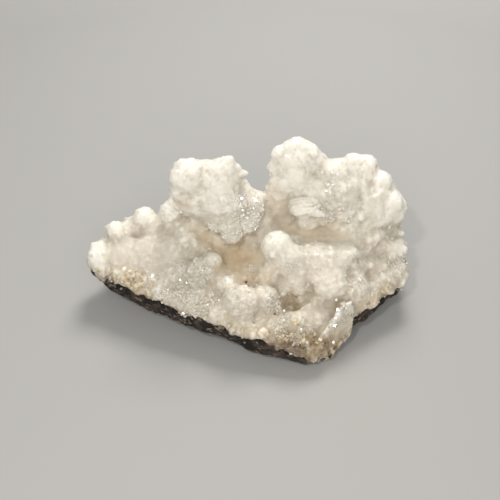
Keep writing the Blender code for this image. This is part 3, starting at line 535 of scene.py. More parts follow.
class SpecimenRock(PropertyGroup):
    voxel: length_setting("Voxel", "Grain of the rock's surface", 0.42 * MM)
    roughness: length_setting("Unevenness", "How far the broken face stands in and out", 0.8 * MM)
    chip: length_setting("Chip", "Largest chip on the broken face", 1.5 * MM)
    triangles: count_setting("Triangles", "Triangles that the rock is thinned to", 120000)
    # The rock's dark and light are partly its own dark colour, partly painted shade of the crust's overhang,
    # laid over the whole rock
    dark: colour_setting("Dark", "Colour of the rock's dark grains", (0.004, 0.003, 0.002))
    light: colour_setting("Light", "Colour of the rock's light grains", (0.050, 0.034, 0.023))
    dust: colour_setting("Dust", "Colour of the beige grains and dust", (0.30, 0.235, 0.175))


class SpecimenStage(PropertyGroup):
    floor: colour_setting("Floor", "Colour of the floor", (0.38, 0.38, 0.375))
    far_floor: colour_setting("Far floor", "Colour of the floor far away, where it fades", (0.93, 0.92, 0.90))
    elevation: FloatProperty(
        name="Elevation",
        description="Camera's height above the table, as an angle",
        subtype="ANGLE",
        default=math.radians(42),
    )
    distance: length_setting("Distance", "Camera's distance from the specimen's middle", 0.225)
    lens: share_setting("Lens", "Focal length in millimetres", 57.6)


def link(obj):
    bpy.context.scene.collection.objects.link(obj)
    return obj


def node_copy(node, name):
    """A copy of a solid's mesh with its loose triangles merged."""
    mesh = frame["nodes"][node].data.copy()
    mesh.name = name
    mesh.materials.clear()
    for layer in list(mesh.uv_layers):
        mesh.uv_layers.remove(layer)
    if mesh.has_custom_normals:
        mesh.attributes.remove(mesh.attributes["custom_normal"])
    bm = bmesh.new()
    bm.from_mesh(mesh)
    bmesh.ops.remove_doubles(bm, verts=bm.verts[:], dist=SAME_PLACE)
    bm.to_mesh(mesh)
    bm.free()
    return link(bpy.data.objects.new(name, mesh))


def bake_down(obj):
    """Turns obj's modifiers into plain mesh."""
    graph = bpy.context.evaluated_depsgraph_get()
    evaluated = obj.evaluated_get(graph)
    made = bpy.data.meshes.new_from_object(evaluated, preserve_all_data_layers=True, depsgraph=graph)
    obj.modifiers.clear()
    old = obj.data
    obj.data = made
    bpy.data.meshes.remove(old)


def fuse(obj, voxel, rounds):
    """Fuses overlapping shells into one skin and softens the joins, rounds times over."""
    skin = obj.modifiers.new("fuse", "REMESH")
    skin.mode = "VOXEL"
    skin.voxel_size = voxel
    if rounds:
        soft = obj.modifiers.new("soften", "SMOOTH")
        soft.factor = 0.5
        soft.iterations = rounds
    bake_down(obj)


def thin(obj, triangles):
    mesh = obj.data
    mesh.calc_loop_triangles()
    if len(mesh.loop_triangles) > triangles:
        fewer = obj.modifiers.new("thin", "DECIMATE")
        fewer.ratio = triangles / len(mesh.loop_triangles)
        bake_down(obj)


def dress(obj, surface, smooth):
    """Gives obj one material, and smooth or flat shading."""
    obj.data.materials.clear()
    obj.data.materials.append(surface)
    if smooth:
        obj.data.shade_smooth()
    else:
        obj.data.shade_flat()


def shape(name, bm):
    mesh = bpy.data.meshes.new(name)
    bm.to_mesh(mesh)
    bm.free()
    return link(bpy.data.objects.new(name, mesh))


def join(main, others):
    """Adds the others' meshes to main and removes them."""
    bm = bmesh.new()
    bm.from_mesh(main.data)
    for other in others:
        bm.from_mesh(other.data)
        bpy.data.objects.remove(other)
    bm.to_mesh(main.data)
    bm.free()


def read_vectors(mesh, key):
    found = np.empty(len(mesh.vertices) * 3, np.float32)
    mesh.vertices.foreach_get(key, found)
    return found.reshape(-1, 3).astype(float)


def coordinates(mesh):
    return read_vectors(mesh, "co")


def normals_of(mesh):
    return read_vectors(mesh, "normal")


def move_to(mesh, co):
    mesh.vertices.foreach_set("co", co.astype(np.float32).ravel())
    mesh.update()


def write_mask(mesh, name, values):
    if name in mesh.attributes:
        mesh.attributes.remove(mesh.attributes[name])
    made = mesh.attributes.new(name, "FLOAT", "POINT")
    made.data.foreach_set("value", np.clip(values, 0.0, 1.0).astype(np.float32))


def read_mask(mesh, name):
    found = np.empty(len(mesh.vertices), np.float32)
    mesh.attributes[name].data.foreach_get("value", found)
    return found


def search_tree(obj):
    bm = bmesh.new()
    bm.from_mesh(obj.data)
    found = BVHTree.FromBMesh(bm)
    bm.free()
    return found


def camera_place(stage):
    rise = math.sin(stage.elevation) * stage.distance
    back = math.cos(stage.elevation) * stage.distance
    return Vector((0.0, -back, AIM_HEIGHT + rise))


class PhotoView:
    """Finds the place on an object's skin that a pixel of the photograph shows."""

    def __init__(self, obj, stage):
        self.skin = search_tree(obj)
        self.eye = camera_place(stage)
        self.forward = Vector((0.0, math.cos(stage.elevation), -math.sin(stage.elevation)))
        self.up = Vector((0.0, math.sin(stage.elevation), math.cos(stage.elevation)))
        self.focal = stage.lens / SENSOR_WIDTH * FRAME_PIXELS

    def hit(self, u, v):
        """The place and the normal there, or None where the pixel shows no skin."""
        right = (u - 0.5 * FRAME_PIXELS) / self.focal
        high = (0.5 * FRAME_PIXELS - v) / self.focal
        ray = self.forward + high * self.up + Vector((right, 0.0, 0.0))
        place, normal = self.skin.ray_cast(self.eye, ray)[:2]
        return None if place is None else (place, normal)

    def pixels(self, co):
        """The pixel, as u and v, on which each point of co falls."""
        ray = co - np.array(self.eye)
        depth = ray @ np.array(self.forward)
        u = 0.5 * FRAME_PIXELS + self.focal * ray[:, 0] / depth
        v = 0.5 * FRAME_PIXELS - self.focal * (ray @ np.array(self.up)) / depth
        return u, v

    def along(self, pixels, step=LINE_STEP):
        """Places along the pixels' polyline, step pixels apart."""
        places = []
        for (u0, v0), (u1, v1) in zip(pixels, pixels[1:]):
            count = max(1, round(math.hypot(u1 - u0, v1 - v0) / step))
            for i in range(count + 1):
                found = self.hit(u0 + (u1 - u0) * i / count, v0 + (v1 - v0) * i / count)
                if found:
                    places.append(found[0])
        return places


def distance_to(co, places, reach):
    """How far each point of co is from the nearest of the places. Beyond reach it is only known to be far."""
    away = np.full(len(co), 1.0)
    if not places:
        return away
    at = np.array([tuple(place) for place in places])
    near = np.all((co > at.min(axis=0) - reach) & (co < at.max(axis=0) + reach), axis=1)
    close = co[near]
    best = away[near]
    for place in at:
        best = np.minimum(best, np.linalg.norm(close - place, axis=1))
    away[near] = best
    return away


def spot_mask(view, co, spots):
    """How strongly each point is touched by the spots, from 0 to 1."""
    mask = np.zeros(len(co))
    for u, v, reach, strength in spots:
        found = view.hit(u, v)
        if found:
            away = distance_to(co, found[:1], SPOT_SEARCH * reach * MM) / (reach * MM)
            mask = np.maximum(mask, strength * np.clip(SPOT_END - away, 0.0, 1.0))
    return mask


def hollow(co, places, half, search):
    """1 at the places and a bell curve around them, followed as far as search times half, in millimetres."""
    away = distance_to(co, places, search * half * MM) / (half * MM)
    return np.exp(-away * away)


def inside(outline, u, v):
    """How far each pixel u, v lies inside the outline, in pixels: below 0 outside it."""
    away = np.full(len(u), 1.0e6)
    odd = np.zeros(len(u), bool)
    for (u0, v0), (u1, v1) in zip(outline, outline[1:] + outline[:1]):
        length = (u1 - u0) ** 2 + (v1 - v0) ** 2
        share = np.clip(((u - u0) * (u1 - u0) + (v - v0) * (v1 - v0)) / length, 0.0, 1.0)
        away = np.minimum(away, np.hypot(u - u0 - share * (u1 - u0), v - v0 - share * (v1 - v0)))
        crossed = (v0 > v) != (v1 > v)
        odd ^= crossed & (u < u0 + (v - v0) * (u1 - u0) / (v1 - v0 if v1 != v0 else 1.0))
    return np.where(odd, away, -away)


def stretch_mask(view, co, outline, seen, reach, edge, start):
    """1 well inside the outline, start on it, and 0 outside it or farther than reach from its middle."""
    middle = view.hit(*(sum(corner[axis] for corner in outline) / len(outline) for axis in (0, 1)))
    share = np.clip(start + inside(outline, *seen) / edge, 0.0, 1.0)
    return np.where(distance_to(co, middle[:1], reach) < reach, share, 0.0)


def softened(mesh, rounds):
    """The mesh's coordinates, each moved half way to the mean of its neighbours, rounds times over."""
    pairs = np.empty(2 * len(mesh.edges), np.int32)
    mesh.edges.foreach_get("vertices", pairs)
    here = np.concatenate([pairs[0::2], pairs[1::2]])
    there = np.concatenate([pairs[1::2], pairs[0::2]])
    count = len(mesh.vertices)
    neighbours = np.maximum(np.bincount(here, minlength=count), 1)
    soft = coordinates(mesh)
    for _ in range(rounds):
        sums = [np.bincount(here, weights=soft[there, axis], minlength=count) for axis in range(3)]
        soft = 0.5 * (soft + np.stack([total / neighbours for total in sums], axis=1))
    return soft


def bumps(view):
    """Balls sunk partly into the skin, one for each bump."""
    bm = bmesh.new()
    for u, v, radius, proud in KNOB_BUMPS + TOWER_BUMPS + RIGHT_BUMPS + TAIL_BUMPS + FRONT_BUMPS:
        found = view.hit(u, v)
        if found:
            place = Matrix.Translation(found[0] - found[1] * radius * (1.0 - proud) * MM)
            bmesh.ops.create_icosphere(bm, subdivisions=BUMP_FACETS, radius=radius * MM, matrix=place)
    return shape("bumps", bm)


def specks_of_dirt(view):
    """Small balls on the skin, sunk a little into it."""
    bm = bmesh.new()
    for u, v, radius in SPECKS:
        found = view.hit(u, v)
        if found:
            place = Matrix.Translation(found[0] - found[1] * SPECK_SINK * radius * MM)
            bmesh.ops.create_icosphere(bm, subdivisions=SPECK_FACETS, radius=radius * MM, matrix=place)
    return shape("dirt_specks", bm)


def fin():
    """The upright crystal plate beside the front corner."""
    bm = bmesh.new()
    for corner in FIN:
        bm.verts.new(Vector(corner) * MM)
    bmesh.ops.convex_hull(bm, input=bm.verts[:])
    return shape("fin", bm)


def pointed_crystals():
    """Six-sided crystals with blunt points."""
    bm = bmesh.new()
    for x, y, z, towards, length, width in POINTS:
        turn = Vector(towards).normalized().to_track_quat("Z", "Y").to_matrix().to_4x4()
        place = Matrix.Translation(Vector((x, y, z)) * MM) @ turn
        for low, high, foot, top in POINT_PARTS:
            middle = Matrix.Translation((0, 0, 0.5 * (low + high) * length * MM))
            bmesh.ops.create_cone(
                bm,
                cap_ends=True,
                segments=6,
                radius1=foot * width * MM,
                radius2=top * width * MM,
                depth=(high - low + POINT_OVERLAP) * length * MM,
                matrix=place @ middle,
            )
    return shape("points", bm)


def calm(obj, view):
    """Evens out the calm stretches towards the skin's softened shape."""
    co = coordinates(obj.data)
    seen = view.pixels(co)
    share = np.full(len(co), CALM_EVERYWHERE)
    for strength, outline in CALM:
        within = stretch_mask(view, co, outline, seen, CALM_REACH, CALM_EDGE, 0.0)
        share = np.maximum(share, strength * within)
    co += share[:, None] * (softened(obj.data, CALM_ROUNDS) - co)
    move_to(obj.data, co)


def press_in(obj, view):
    """Presses the creases and the pits into the skin, where it doesn't face down."""
    co = coordinates(obj.data)
    normals = normals_of(obj.data)
    depth = np.zeros(len(co))
    for half, deep, pixels in CREASES:
        depth = np.maximum(depth, deep * hollow(co, view.along(pixels), half, LINE_SEARCH))
    for u, v, radius, deep in PITS:
        found = view.hit(u, v)
        if found:
            depth = np.maximum(depth, deep * hollow(co, found[:1], radius, PIT_SEARCH))
    depth *= np.clip(1.0 + UNDERSIDE_FADE * normals[:, 2], 0.0, 1.0)
    co -= normals * depth[:, None] * MM
    move_to(obj.data, co)


def raise_plates(obj, view):
    """Lifts the low plates out of the skin, each with a steep edge, and scores the growth lines."""
    co = coordinates(obj.data)
    seen = view.pixels(co)
    lift = np.zeros(len(co))
    for rise, outline in PLATES:
        share = stretch_mask(view, co, outline, seen, PLATE_REACH, PLATE_EDGE, 0.5)
        lift = np.maximum(lift, rise * share * share * (3.0 - 2.0 * share))
    for pixels in GROWTH_LINES:
        lift -= LINE_DEPTH * hollow(co, view.along(pixels, FINE_LINE_STEP), LINE_HALF_WIDTH, LINE_SEARCH)
    co += normals_of(obj.data) * lift[:, None] * MM
    move_to(obj.data, co)


def room_for_growth(obj, view):
    """Marks where lumps and grains may grow: not in the smooth hollows, nor on the hidden underside."""
    room = 1.0 - spot_mask(view, coordinates(obj.data), SMOOTH)
    up = normals_of(obj.data)[:, 2]
    write_mask(obj.data, "room", room * np.clip((up + ROOM_FROM) / ROOM_FADE, 0.0, 1.0) ** 0.5)


def near_rock(mesh):
    """1 where the skin meets the rock, falling to 0 at RIM_WIDTH from it."""
    rock = search_tree(bpy.data.objects["rock_plate"])
    nearness = np.zeros(len(mesh.vertices))
    for i, vert in enumerate(mesh.vertices):
        if vert.co.z < RIM_CEILING:
            away = rock.find_nearest(vert.co, RIM_WIDTH)[3]
            if away is not None:
                nearness[i] = 1.0 - away / RIM_WIDTH
    return nearness


def fringe(obj):
    """Lets the crust's edge hang unevenly over the rock, lower at the tail's tip and the front corner."""
    co = coordinates(obj.data)
    edge = near_rock(obj.data)
    drop = np.array([noise3.noise(Vector(place) / FRINGE_SIZE) for place in co[edge > 0.0]])
    co[edge > 0.0, 2] += edge[edge > 0.0] * (drop - FRINGE_SHIFT) * FRINGE_DROP
    for x, y, reach, low, along_x, along_y in OVERHANGS:
        away = np.hypot(co[:, 0] - x * MM, co[:, 1] - y * MM) / (reach * MM)
        share = edge * np.clip(OVERHANG_END - away, 0.0, 1.0)
        co += share[:, None] * np.array((along_x, along_y, -low)) * MM
    co[:, 2] = np.maximum(co[:, 2], EDGE_LOWEST)
    move_to(obj.data, co)


def crevices(mesh, rounds, depth):
    """1 where the skin lies depth below its own softened shape, -1 where it stands as high above it."""
    below = softened(mesh, rounds) - coordinates(mesh)
    return np.clip(np.sum(below * normals_of(mesh), axis=1) / depth, -1.0, 1.0)


def crust_masks(mesh, view):
    co = coordinates(mesh)
    write_mask(mesh, "rim", near_rock(mesh) * (1.0 - spot_mask(view, co, HONEY_AND_SHADE)))
    # Where the skin lies below its softened shape it gets painted shade; where it stands above it, painted
    # highlight
    relief = 0.5 * crevices(mesh, *FINE_RELIEF) + 0.5 * crevices(mesh, *BROAD_RELIEF)
    write_mask(mesh, "crevice", np.maximum(relief, 0.0))
    write_mask(mesh, "crest", np.maximum(-relief, 0.0))
    for name, spots in SPOT_MASKS.items():
        write_mask(mesh, name, spot_mask(view, co, spots))


class Tree:
    """A Geometry Nodes tree under construction, with its inputs by name."""

    def __init__(self, name, **inputs):
        self.tree = bpy.data.node_groups.new(name, "GeometryNodeTree")
        face = self.tree.interface
        face.new_socket("Geometry", in_out="INPUT", socket_type="NodeSocketGeometry")
        self.ids = {}
        for label, kind in inputs.items():
            made = face.new_socket(label, in_out="INPUT", socket_type="NodeSocket" + kind)
            self.ids[label] = made.identifier
        face.new_socket("Geometry", in_out="OUTPUT", socket_type="NodeSocketGeometry")
        self.start = self.node("NodeGroupInput")
        self.end = self.node("NodeGroupOutput")

    def node(self, kind, **values):
        made = self.tree.nodes.new(kind)
        for key, value in values.items():
            setattr(made, key, value)
        return made

    def wire(self, source, socket, target, name):
        self.tree.links.new(source.outputs[socket], target.inputs[name])

    def wire_start(self, target, **sockets):
        """Wires the tree's own inputs to target's sockets of the given names."""
        for label, name in sockets.items():
            self.wire(self.start, label, target, name)

    def math(self, operation, a, b):
        """a and b are (node, output) pairs or numbers. Returns the Math node."""
        made = self.node("ShaderNodeMath", operation=operation)
        for i, value in enumerate((a, b)):
            if isinstance(value, tuple):
                self.wire(*value, made, i)
            else:
                made.inputs[i].default_value = value
        return made

    def scaled(self, vector, socket, length):
        """The vector at that socket of a node, made as long as length says."""
        made = self.node("ShaderNodeVectorMath", operation="SCALE")
        self.wire(vector, socket, made, 0)
        self.wire(*length, made, "Scale")
        return made

    def attribute(self, name):
        made = self.node("GeometryNodeInputNamedAttribute", data_type="FLOAT")
        made.inputs["Name"].default_value = name
        return made

    def random(self, low, high, seed):
        """Random numbers, at output 1, or vectors, at output 0, where low and high have three parts."""
        vector = isinstance(low, tuple)
        made = self.node("FunctionNodeRandomValue", data_type="FLOAT_VECTOR" if vector else "FLOAT")
        made.inputs[0 if vector else 2].default_value = low
        made.inputs[1 if vector else 3].default_value = high
        made.inputs["Seed"].default_value = seed
        return made

    def scatter(self, spacing, mask):
        """Points on the skin, the spacing or more apart, as thickly as the mask says."""
        made = self.node("GeometryNodeDistributePointsOnFaces", distribute_method="POISSON")
        made.inputs["Density Max"].default_value = DENSEST
        self.wire_start(made, Geometry="Mesh", Seed="Seed")
        self.wire(*spacing, made, "Distance Min")
        self.wire(mask, 0, made, "Density Factor")
        return made

    def masked_scatter(self, spacing):
        """Points as thickly as the mask that the input Where names."""
        mask = self.node("GeometryNodeInputNamedAttribute", data_type="FLOAT")
        self.wire_start(mask, Where="Name")
        return self.scatter(spacing, mask)

    def copies(self, points, piece, turn, scale):
        """The piece on each point, turned and scaled. Each of the four is a node's first output."""
        made = self.node("GeometryNodeInstanceOnPoints")
        for source, name in ((points, "Points"), (piece, "Instance"), (turn, "Rotation"), (scale, "Scale")):
            self.wire(source, 0, made, name)
        return made

    def realized(self, copies):
        made = self.node("GeometryNodeRealizeInstances")
        self.wire(copies, 0, made, 0)
        return made

    def moved(self, geometry, socket, offset):
        made = self.node("GeometryNodeSetPosition")
        self.wire(geometry, socket, made, "Geometry")
        self.wire(offset, 0, made, "Offset")
        return made

    def finish(self, geometry):
        """Puts out the geometry with the material that the input Material names."""
        surface = self.node("GeometryNodeSetMaterial")
        self.wire(geometry, 0, surface, 0)
        self.wire_start(surface, Material="Material")
        self.wire(surface, 0, self.end, 0)
        return self

    def put_on(self, obj, **values):
        made = obj.modifiers.new(self.tree.name, "NODES")
        made.node_group = self.tree
        for label, value in values.items():
            made[self.ids[label]] = value


def growth_tree():
    """Balls, or blunt blocks where Facets is 1, scattered where a mask says and joined to the skin."""
    tree = Tree(
        "Growth", Radius="Float", Spread="Float", Sunk="Float", Facets="Int", Where="String", Seed="Int",
        Material="Material",
    )
    start = tree.start
    spacing = tree.math("MULTIPLY", (start, "Radius"), (start, "Spread"))
    points = tree.masked_scatter((spacing, 0))
    radius = tree.math("MULTIPLY", (tree.random(*LUMP_SIZES, seed=1), 1), (start, "Radius"))
    sink = tree.math("MULTIPLY", (radius, 0), (start, "Sunk"))
    down = tree.math("MULTIPLY", (sink, 0), -1.0)
    placed = tree.moved(points, "Points", tree.scaled(points, "Normal", (down, 0)))

    ball = tree.node("GeometryNodeMeshIcoSphere")
    ball.inputs["Radius"].default_value = 1.0
    tree.wire_start(ball, Facets="Subdivisions")
    turn = tree.random(NO_TURN, WHOLE_TURN, seed=0)
    scale = tree.scaled(tree.random(*LUMP_STRETCH, seed=7), 0, (radius, 0))
    real = tree.realized(tree.copies(placed, ball, turn, scale))
    joined = tree.node("GeometryNodeJoinGeometry")
    tree.wire(start, "Geometry", joined, 0)
    tree.wire(real, 0, joined, 0)
    return tree.finish(joined)


def crystal_tree():
    """Small blocks over a skin, standing out of it with a random tilt. Only the blocks are kept."""
    tree = Tree(
        "Crystals", Spacing="Float", Length="Float", Width="Float", Tilt="Float", Seed="Int", Where="String",
        Material="Material",
    )
    start = tree.start
    points = tree.masked_scatter((start, "Spacing"))
    parts = tree.node("ShaderNodeSeparateXYZ")
    tree.wire(tree.random(*CRYSTAL_TURNS, seed=5), 0, parts, 0)
    euler = tree.node("ShaderNodeCombineXYZ")
    for axis in ("X", "Y"):
        tree.wire(tree.math("MULTIPLY", (parts, axis), (start, "Tilt")), 0, euler, axis)
    tree.wire(parts, "Z", euler, "Z")
    local = tree.node("FunctionNodeEulerToRotation")
    tree.wire(euler, 0, local, 0)
    turn = tree.node("FunctionNodeRotateRotation", rotation_space="LOCAL")
    tree.wire(points, "Rotation", turn, 0)
    tree.wire(local, 0, turn, 1)

    block = tree.node("GeometryNodeTransform")
    tree.wire(tree.node("GeometryNodeMeshCube"), "Mesh", block, 0)
    block.inputs["Translation"].default_value = (0.0, 0.0, CRYSTAL_SINK)
    size = (tree.random(*CRYSTAL_SIZES, seed=2), 1)
    scale = tree.node("ShaderNodeCombineXYZ")
    for axis, label in (("X", "Width"), ("Y", "Width"), ("Z", "Length")):
        tree.wire(tree.math("MULTIPLY", size, (start, label)), 0, scale, axis)
    return tree.finish(tree.realized(tree.copies(points, block, turn, scale)))


def grain_tree():
    """Small blocks with a random turn, size and tone, laid where the mask drusy says. Only they are kept."""
    tree = Tree("Grains", Spacing="Float", Size="Float", Seed="Int", Material="Material")
    points = tree.scatter((tree.start, "Spacing"), tree.attribute("drusy"))
    block = tree.node("GeometryNodeMeshCube")
    block.inputs["Size"].default_value = GRAIN_BLOCK
    turn = tree.random(NO_TURN, WHOLE_TURN, seed=0)
    scale = tree.scaled(tree.random(*GRAIN_STRETCH, seed=7), 0, (tree.start, "Size"))
    toned = tree.node("GeometryNodeStoreNamedAttribute", data_type="FLOAT", domain="INSTANCE")
    toned.inputs["Name"].default_value = "tone"
    tree.wire(tree.copies(points, block, turn, scale), 0, toned, 0)
    tree.wire(tree.random(0.0, 1.0, seed=11), 1, toned, "Value")
    return tree.finish(tree.realized(toned))


def ripple_tree():
    """Moves a skin in and out by noise of three sizes: soft swells, bumps, and sugar where there is room."""
    tree = Tree("Ripple", Swell="Float", Bump="Float", Sugar="Float", Material="Material")
    total = None
    for label, scale, detail in RIPPLES:
        wave = tree.node("ShaderNodeTexNoise", noise_dimensions="3D")
        wave.inputs["Scale"].default_value = scale
        wave.inputs["Detail"].default_value = detail
        centred = tree.math("SUBTRACT", (wave, 0), 0.5)
        part = tree.math("MULTIPLY", (centred, 0), (tree.start, label))
        if label == "Sugar":
            part = tree.math("MULTIPLY", (part, 0), (tree.attribute("room"), 0))
        total = part if total is None else tree.math("ADD", (total, 0), (part, 0))
    offset = tree.scaled(tree.node("GeometryNodeInputNormal"), 0, (total, 0))
    return tree.finish(tree.moved(tree.start, "Geometry", offset))


class Look:
    """A shader tree under construction. Its patterns follow the object's own coordinates."""

    def __init__(self, tree):
        self.tree = tree
        self.place = self.node("ShaderNodeTexCoord").outputs["Object"]

    def node(self, kind, **values):
        made = self.tree.nodes.new(kind)
        for key, value in values.items():
            setattr(made, key, value)
        return made

    def feed(self, socket, value):
        """Wires the value to the socket where it is a node's output, and sets it otherwise."""
        if isinstance(value, bpy.types.NodeSocket):
            self.tree.links.new(value, socket)
        elif socket.type == "RGBA":
            socket.default_value = (*value, 1.0)
        else:
            socket.default_value = value

    def put(self, kind, feeds, output=0, **values):
        """Adds a node, feeds its sockets by name or number, and returns one output."""
        made = self.node(kind, **values)
        for name, value in feeds.items():
            self.feed(made.inputs[name], value)
        return made.outputs[output]

    def mix(self, share, a, b):
        return self.put("ShaderNodeMix", {0: share, 6: a, 7: b}, output=2, data_type="RGBA")

    def product(self, a, b):
        return self.put("ShaderNodeMath", {0: a, 1: b}, operation="MULTIPLY")

    def ramp(self, source, span, to=(0.0, 1.0)):
        """source stretched so that the two ends of span give the two ends of to."""
        ends = {"From Min": span[0], "From Max": span[1], "To Min": to[0], "To Max": to[1]}
        return self.put("ShaderNodeMapRange", {"Value": source, **ends})

    def noise(self, scale, detail=3.0, rough=0.5, twist=0.0, where=None):
        sizes = {"Scale": scale, "Detail": detail, "Roughness": rough, "Distortion": twist}
        return self.put("ShaderNodeTexNoise", {"Vector": where or self.place, **sizes})

    def height(self):
        return self.put("ShaderNodeSeparateXYZ", {0: self.place}, "Z")

    def mask(self, name):
        return self.node("ShaderNodeAttribute", attribute_name=name).outputs["Fac"]

    def grit(self, scale, rough, strength, depth):
        """The normal of a surface with fine grit of the given depth."""
        grains = self.noise(scale, 4.0, rough)
        return self.put("ShaderNodeBump", {"Height": grains, "Strength": strength, "Distance": depth})

    def facets(self, normal):
        """The normal, tilted at random in each of many small cells, as the faces of sugary crystals are."""
        cells = self.put("ShaderNodeTexVoronoi", {"Vector": self.place, "Scale": FACET_SCALE}, "Color")
        centred = self.put("ShaderNodeVectorMath", {0: cells, 1: (0.5, 0.5, 0.5)}, operation="SUBTRACT")
        tilt = self.put("ShaderNodeVectorMath", {0: centred, "Scale": FACET_TILT}, operation="SCALE")
        tilted = self.put("ShaderNodeVectorMath", {0: normal, 1: tilt}, operation="ADD")
        return self.put("ShaderNodeVectorMath", {0: tilted}, operation="NORMALIZE")


class Finish(Look):
    """A material under construction. Each tint is laid over its colour so far."""

    def __init__(self, name, colour=None):
        self.material = bpy.data.materials.new(name)
        self.material.use_nodes = True
        super().__init__(self.material.node_tree)
        self.colour = colour

    def tint(self, share, colour):
        self.colour = self.mix(share, self.colour, colour)

    def tint_where(self, mask, share, colour):
        self.tint(self.product(self.mask(mask), share), colour)

    def done(self, **sockets):
        """The material, with its colour and the sockets, whose spaces are written as underscores, set."""
        shader = self.tree.nodes["Principled BSDF"]
        self.feed(shader.inputs["Base Color"], self.colour)
        for name, value in sockets.items():
            self.feed(shader.inputs[name.replace("_", " ")], value)
        return self.material


def wax_to_milk_group():
    """A shader node group with the crust's own colour, waxy at the foot and milky higher up."""
    tree = bpy.data.node_groups.new("wax_to_milk", "ShaderNodeTree")
    for label in ("Wax", "Milk"):
        tree.interface.new_socket(label, in_out="INPUT", socket_type="NodeSocketColor")
    tree.interface.new_socket("Color", in_out="OUTPUT", socket_type="NodeSocketColor")
    look = Look(tree)
    start = look.node("NodeGroupInput")
    share = look.ramp(look.height(), (WAX_TOP, MILK_FROM))
    colour = look.mix(share, start.outputs["Wax"], start.outputs["Milk"])
    look.feed(look.node("NodeGroupOutput").inputs["Color"], colour)
    return tree


def wax_to_milk(look, crust):
    """The group's colour with the crust's two colours. The group is built at its first use."""
    group = bpy.data.node_groups.get("wax_to_milk") or wax_to_milk_group()
    return look.put("ShaderNodeGroup", {"Wax": crust.wax, "Milk": crust.milk}, node_tree=group)


def milky_material(crust):
    """Milky translucent aragonite: honey and painted warm shade in its hollows, painted shade in its
    crevices, painted highlight on its crests, grey where glassier, cream grains at its rim.
    """
    look = Finish("milky_aragonite")
    cloud = look.noise(170.0, 4.0, 0.55, 0.4)
    fleck = look.noise(900.0, 3.0, 0.6)
    look.colour = wax_to_milk(look, crust)
    look.tint(look.ramp(cloud, (0.35, 0.65), (0.22, 0.0)), crust.grey)
    look.tint(look.ramp(look.noise(430.0, 3.0, 0.6, 0.6), (0.45, 0.65), (0.0, 0.22)), crust.grey)
    look.tint_where("grey", look.ramp(cloud, (0.3, 0.6), (0.55, 1.0)), crust.grey)
    # Honey in the hollows, partly painted warm shade
    look.tint_where("honey", look.ramp(cloud, (0.3, 0.65), (1.0, 0.75)), crust.honey)
    # Painted highlight, over some whiter crust, on the brightest spots
    look.tint_where("bright", look.ramp(cloud, (0.3, 0.6), (0.75, 1.0)), crust.bright)
    # Painted highlight on the crests, where the skin stands above its softened shape
    look.tint_where("crest", 0.6, crust.bright)
    # Painted shade in the crevices, fading out in the honey hollows, which are smooth
    look.tint_where("crevice", look.ramp(look.mask("honey"), (0.0, 0.7), (0.5, 0.0)), crust.shade)
    look.tint(look.ramp(look.noise(1500.0, 2.0, 0.6), (0.35, 0.65), (0.0, 0.16)), crust.grey)
    look.tint_where("cream", look.ramp(look.noise(420.0, 3.0, 0.6), (0.38, 0.60), (0.25, 1.0)), crust.cream)
    # Dark brown between the cream grains: dirt, and painted shade between them
    look.tint_where("cream", look.ramp(look.noise(620.0, 4.0, 0.7), (0.60, 0.68)), crust.dirt_and_shade)
    look.tint_where("rim", look.ramp(cloud, (0.40, 0.62), (0.1, 0.9)), crust.cream)
    edge = look.ramp(look.mask("rim"), (0.35, 0.85))
    look.tint(look.product(edge, look.ramp(fleck, (0.42, 0.60), (0.1, 0.85))), crust.dirt_and_shade)
    # Dirt, and painted shade in the hollows of the front corner and in the pit
    look.tint_where("brown", look.ramp(fleck, (0.35, 0.6), (0.6, 1.0)), crust.dirt_and_shade)
    normal = look.grit(2000.0, 0.65, 0.7, 0.3 * MM)
    return look.done(
        Roughness=look.ramp(fleck, (0.3, 0.7), (0.40, 0.65)),
        Normal=normal,
        IOR=1.53,
        Subsurface_Weight=1.0,
        Subsurface_Radius=(1.0, 1.0, 1.0),
        Subsurface_Scale=2.8 * MM,
        Coat_Weight=look.ramp(look.mask("drusy"), (0.0, 0.8), (0.4, 1.0)),
        Coat_Roughness=0.09,
        Coat_IOR=1.6,
        Coat_Normal=look.facets(normal),
    )


def glinting_material(crust):
    """The fine crystals: the crust's milk, clearer and glossier, so that their faces glint."""
    look = Finish("glinting_crystal")
    cloud = look.noise(260.0, 3.0, 0.5)
    look.colour = wax_to_milk(look, crust)
    look.tint(look.ramp(cloud, (0.35, 0.6), (0.0, 0.25)), crust.bright)
    look.tint_where("grey", 0.5, crust.grey)
    # Honey in the hollows, partly painted warm shade
    look.tint_where("honey", 0.8, crust.honey)
    look.tint_where("cream", look.ramp(cloud, (0.4, 0.6), (0.3, 1.0)), crust.cream)
    return look.done(
        Roughness=look.ramp(look.noise(800.0), (0.3, 0.7), (0.04, 0.12)),
        IOR=1.68,
        Specular_IOR_Level=1.0,
        Coat_Weight=1.0,
        Coat_Roughness=0.04,
        Coat_IOR=1.68,
    )


def grain_material(grains):
    """Loose grains at the rim: cream, yellow, brown or nearly black, each by its own tone."""
    look = Finish("rim_grain", grains.pale)
    tone = look.mask("tone")
    look.tint(look.ramp(tone, (0.20, 0.60)), grains.yellow)
    look.tint(look.ramp(tone, (0.80, 0.86)), grains.brown)
    look.tint(look.ramp(tone, (0.985, 0.99)), grains.black)
    return look.done(Roughness=0.45, Coat_Weight=0.2)


def dirt_material(crust):
    return Finish("dirt_and_shade", crust.dirt_and_shade).done(Roughness=0.9)


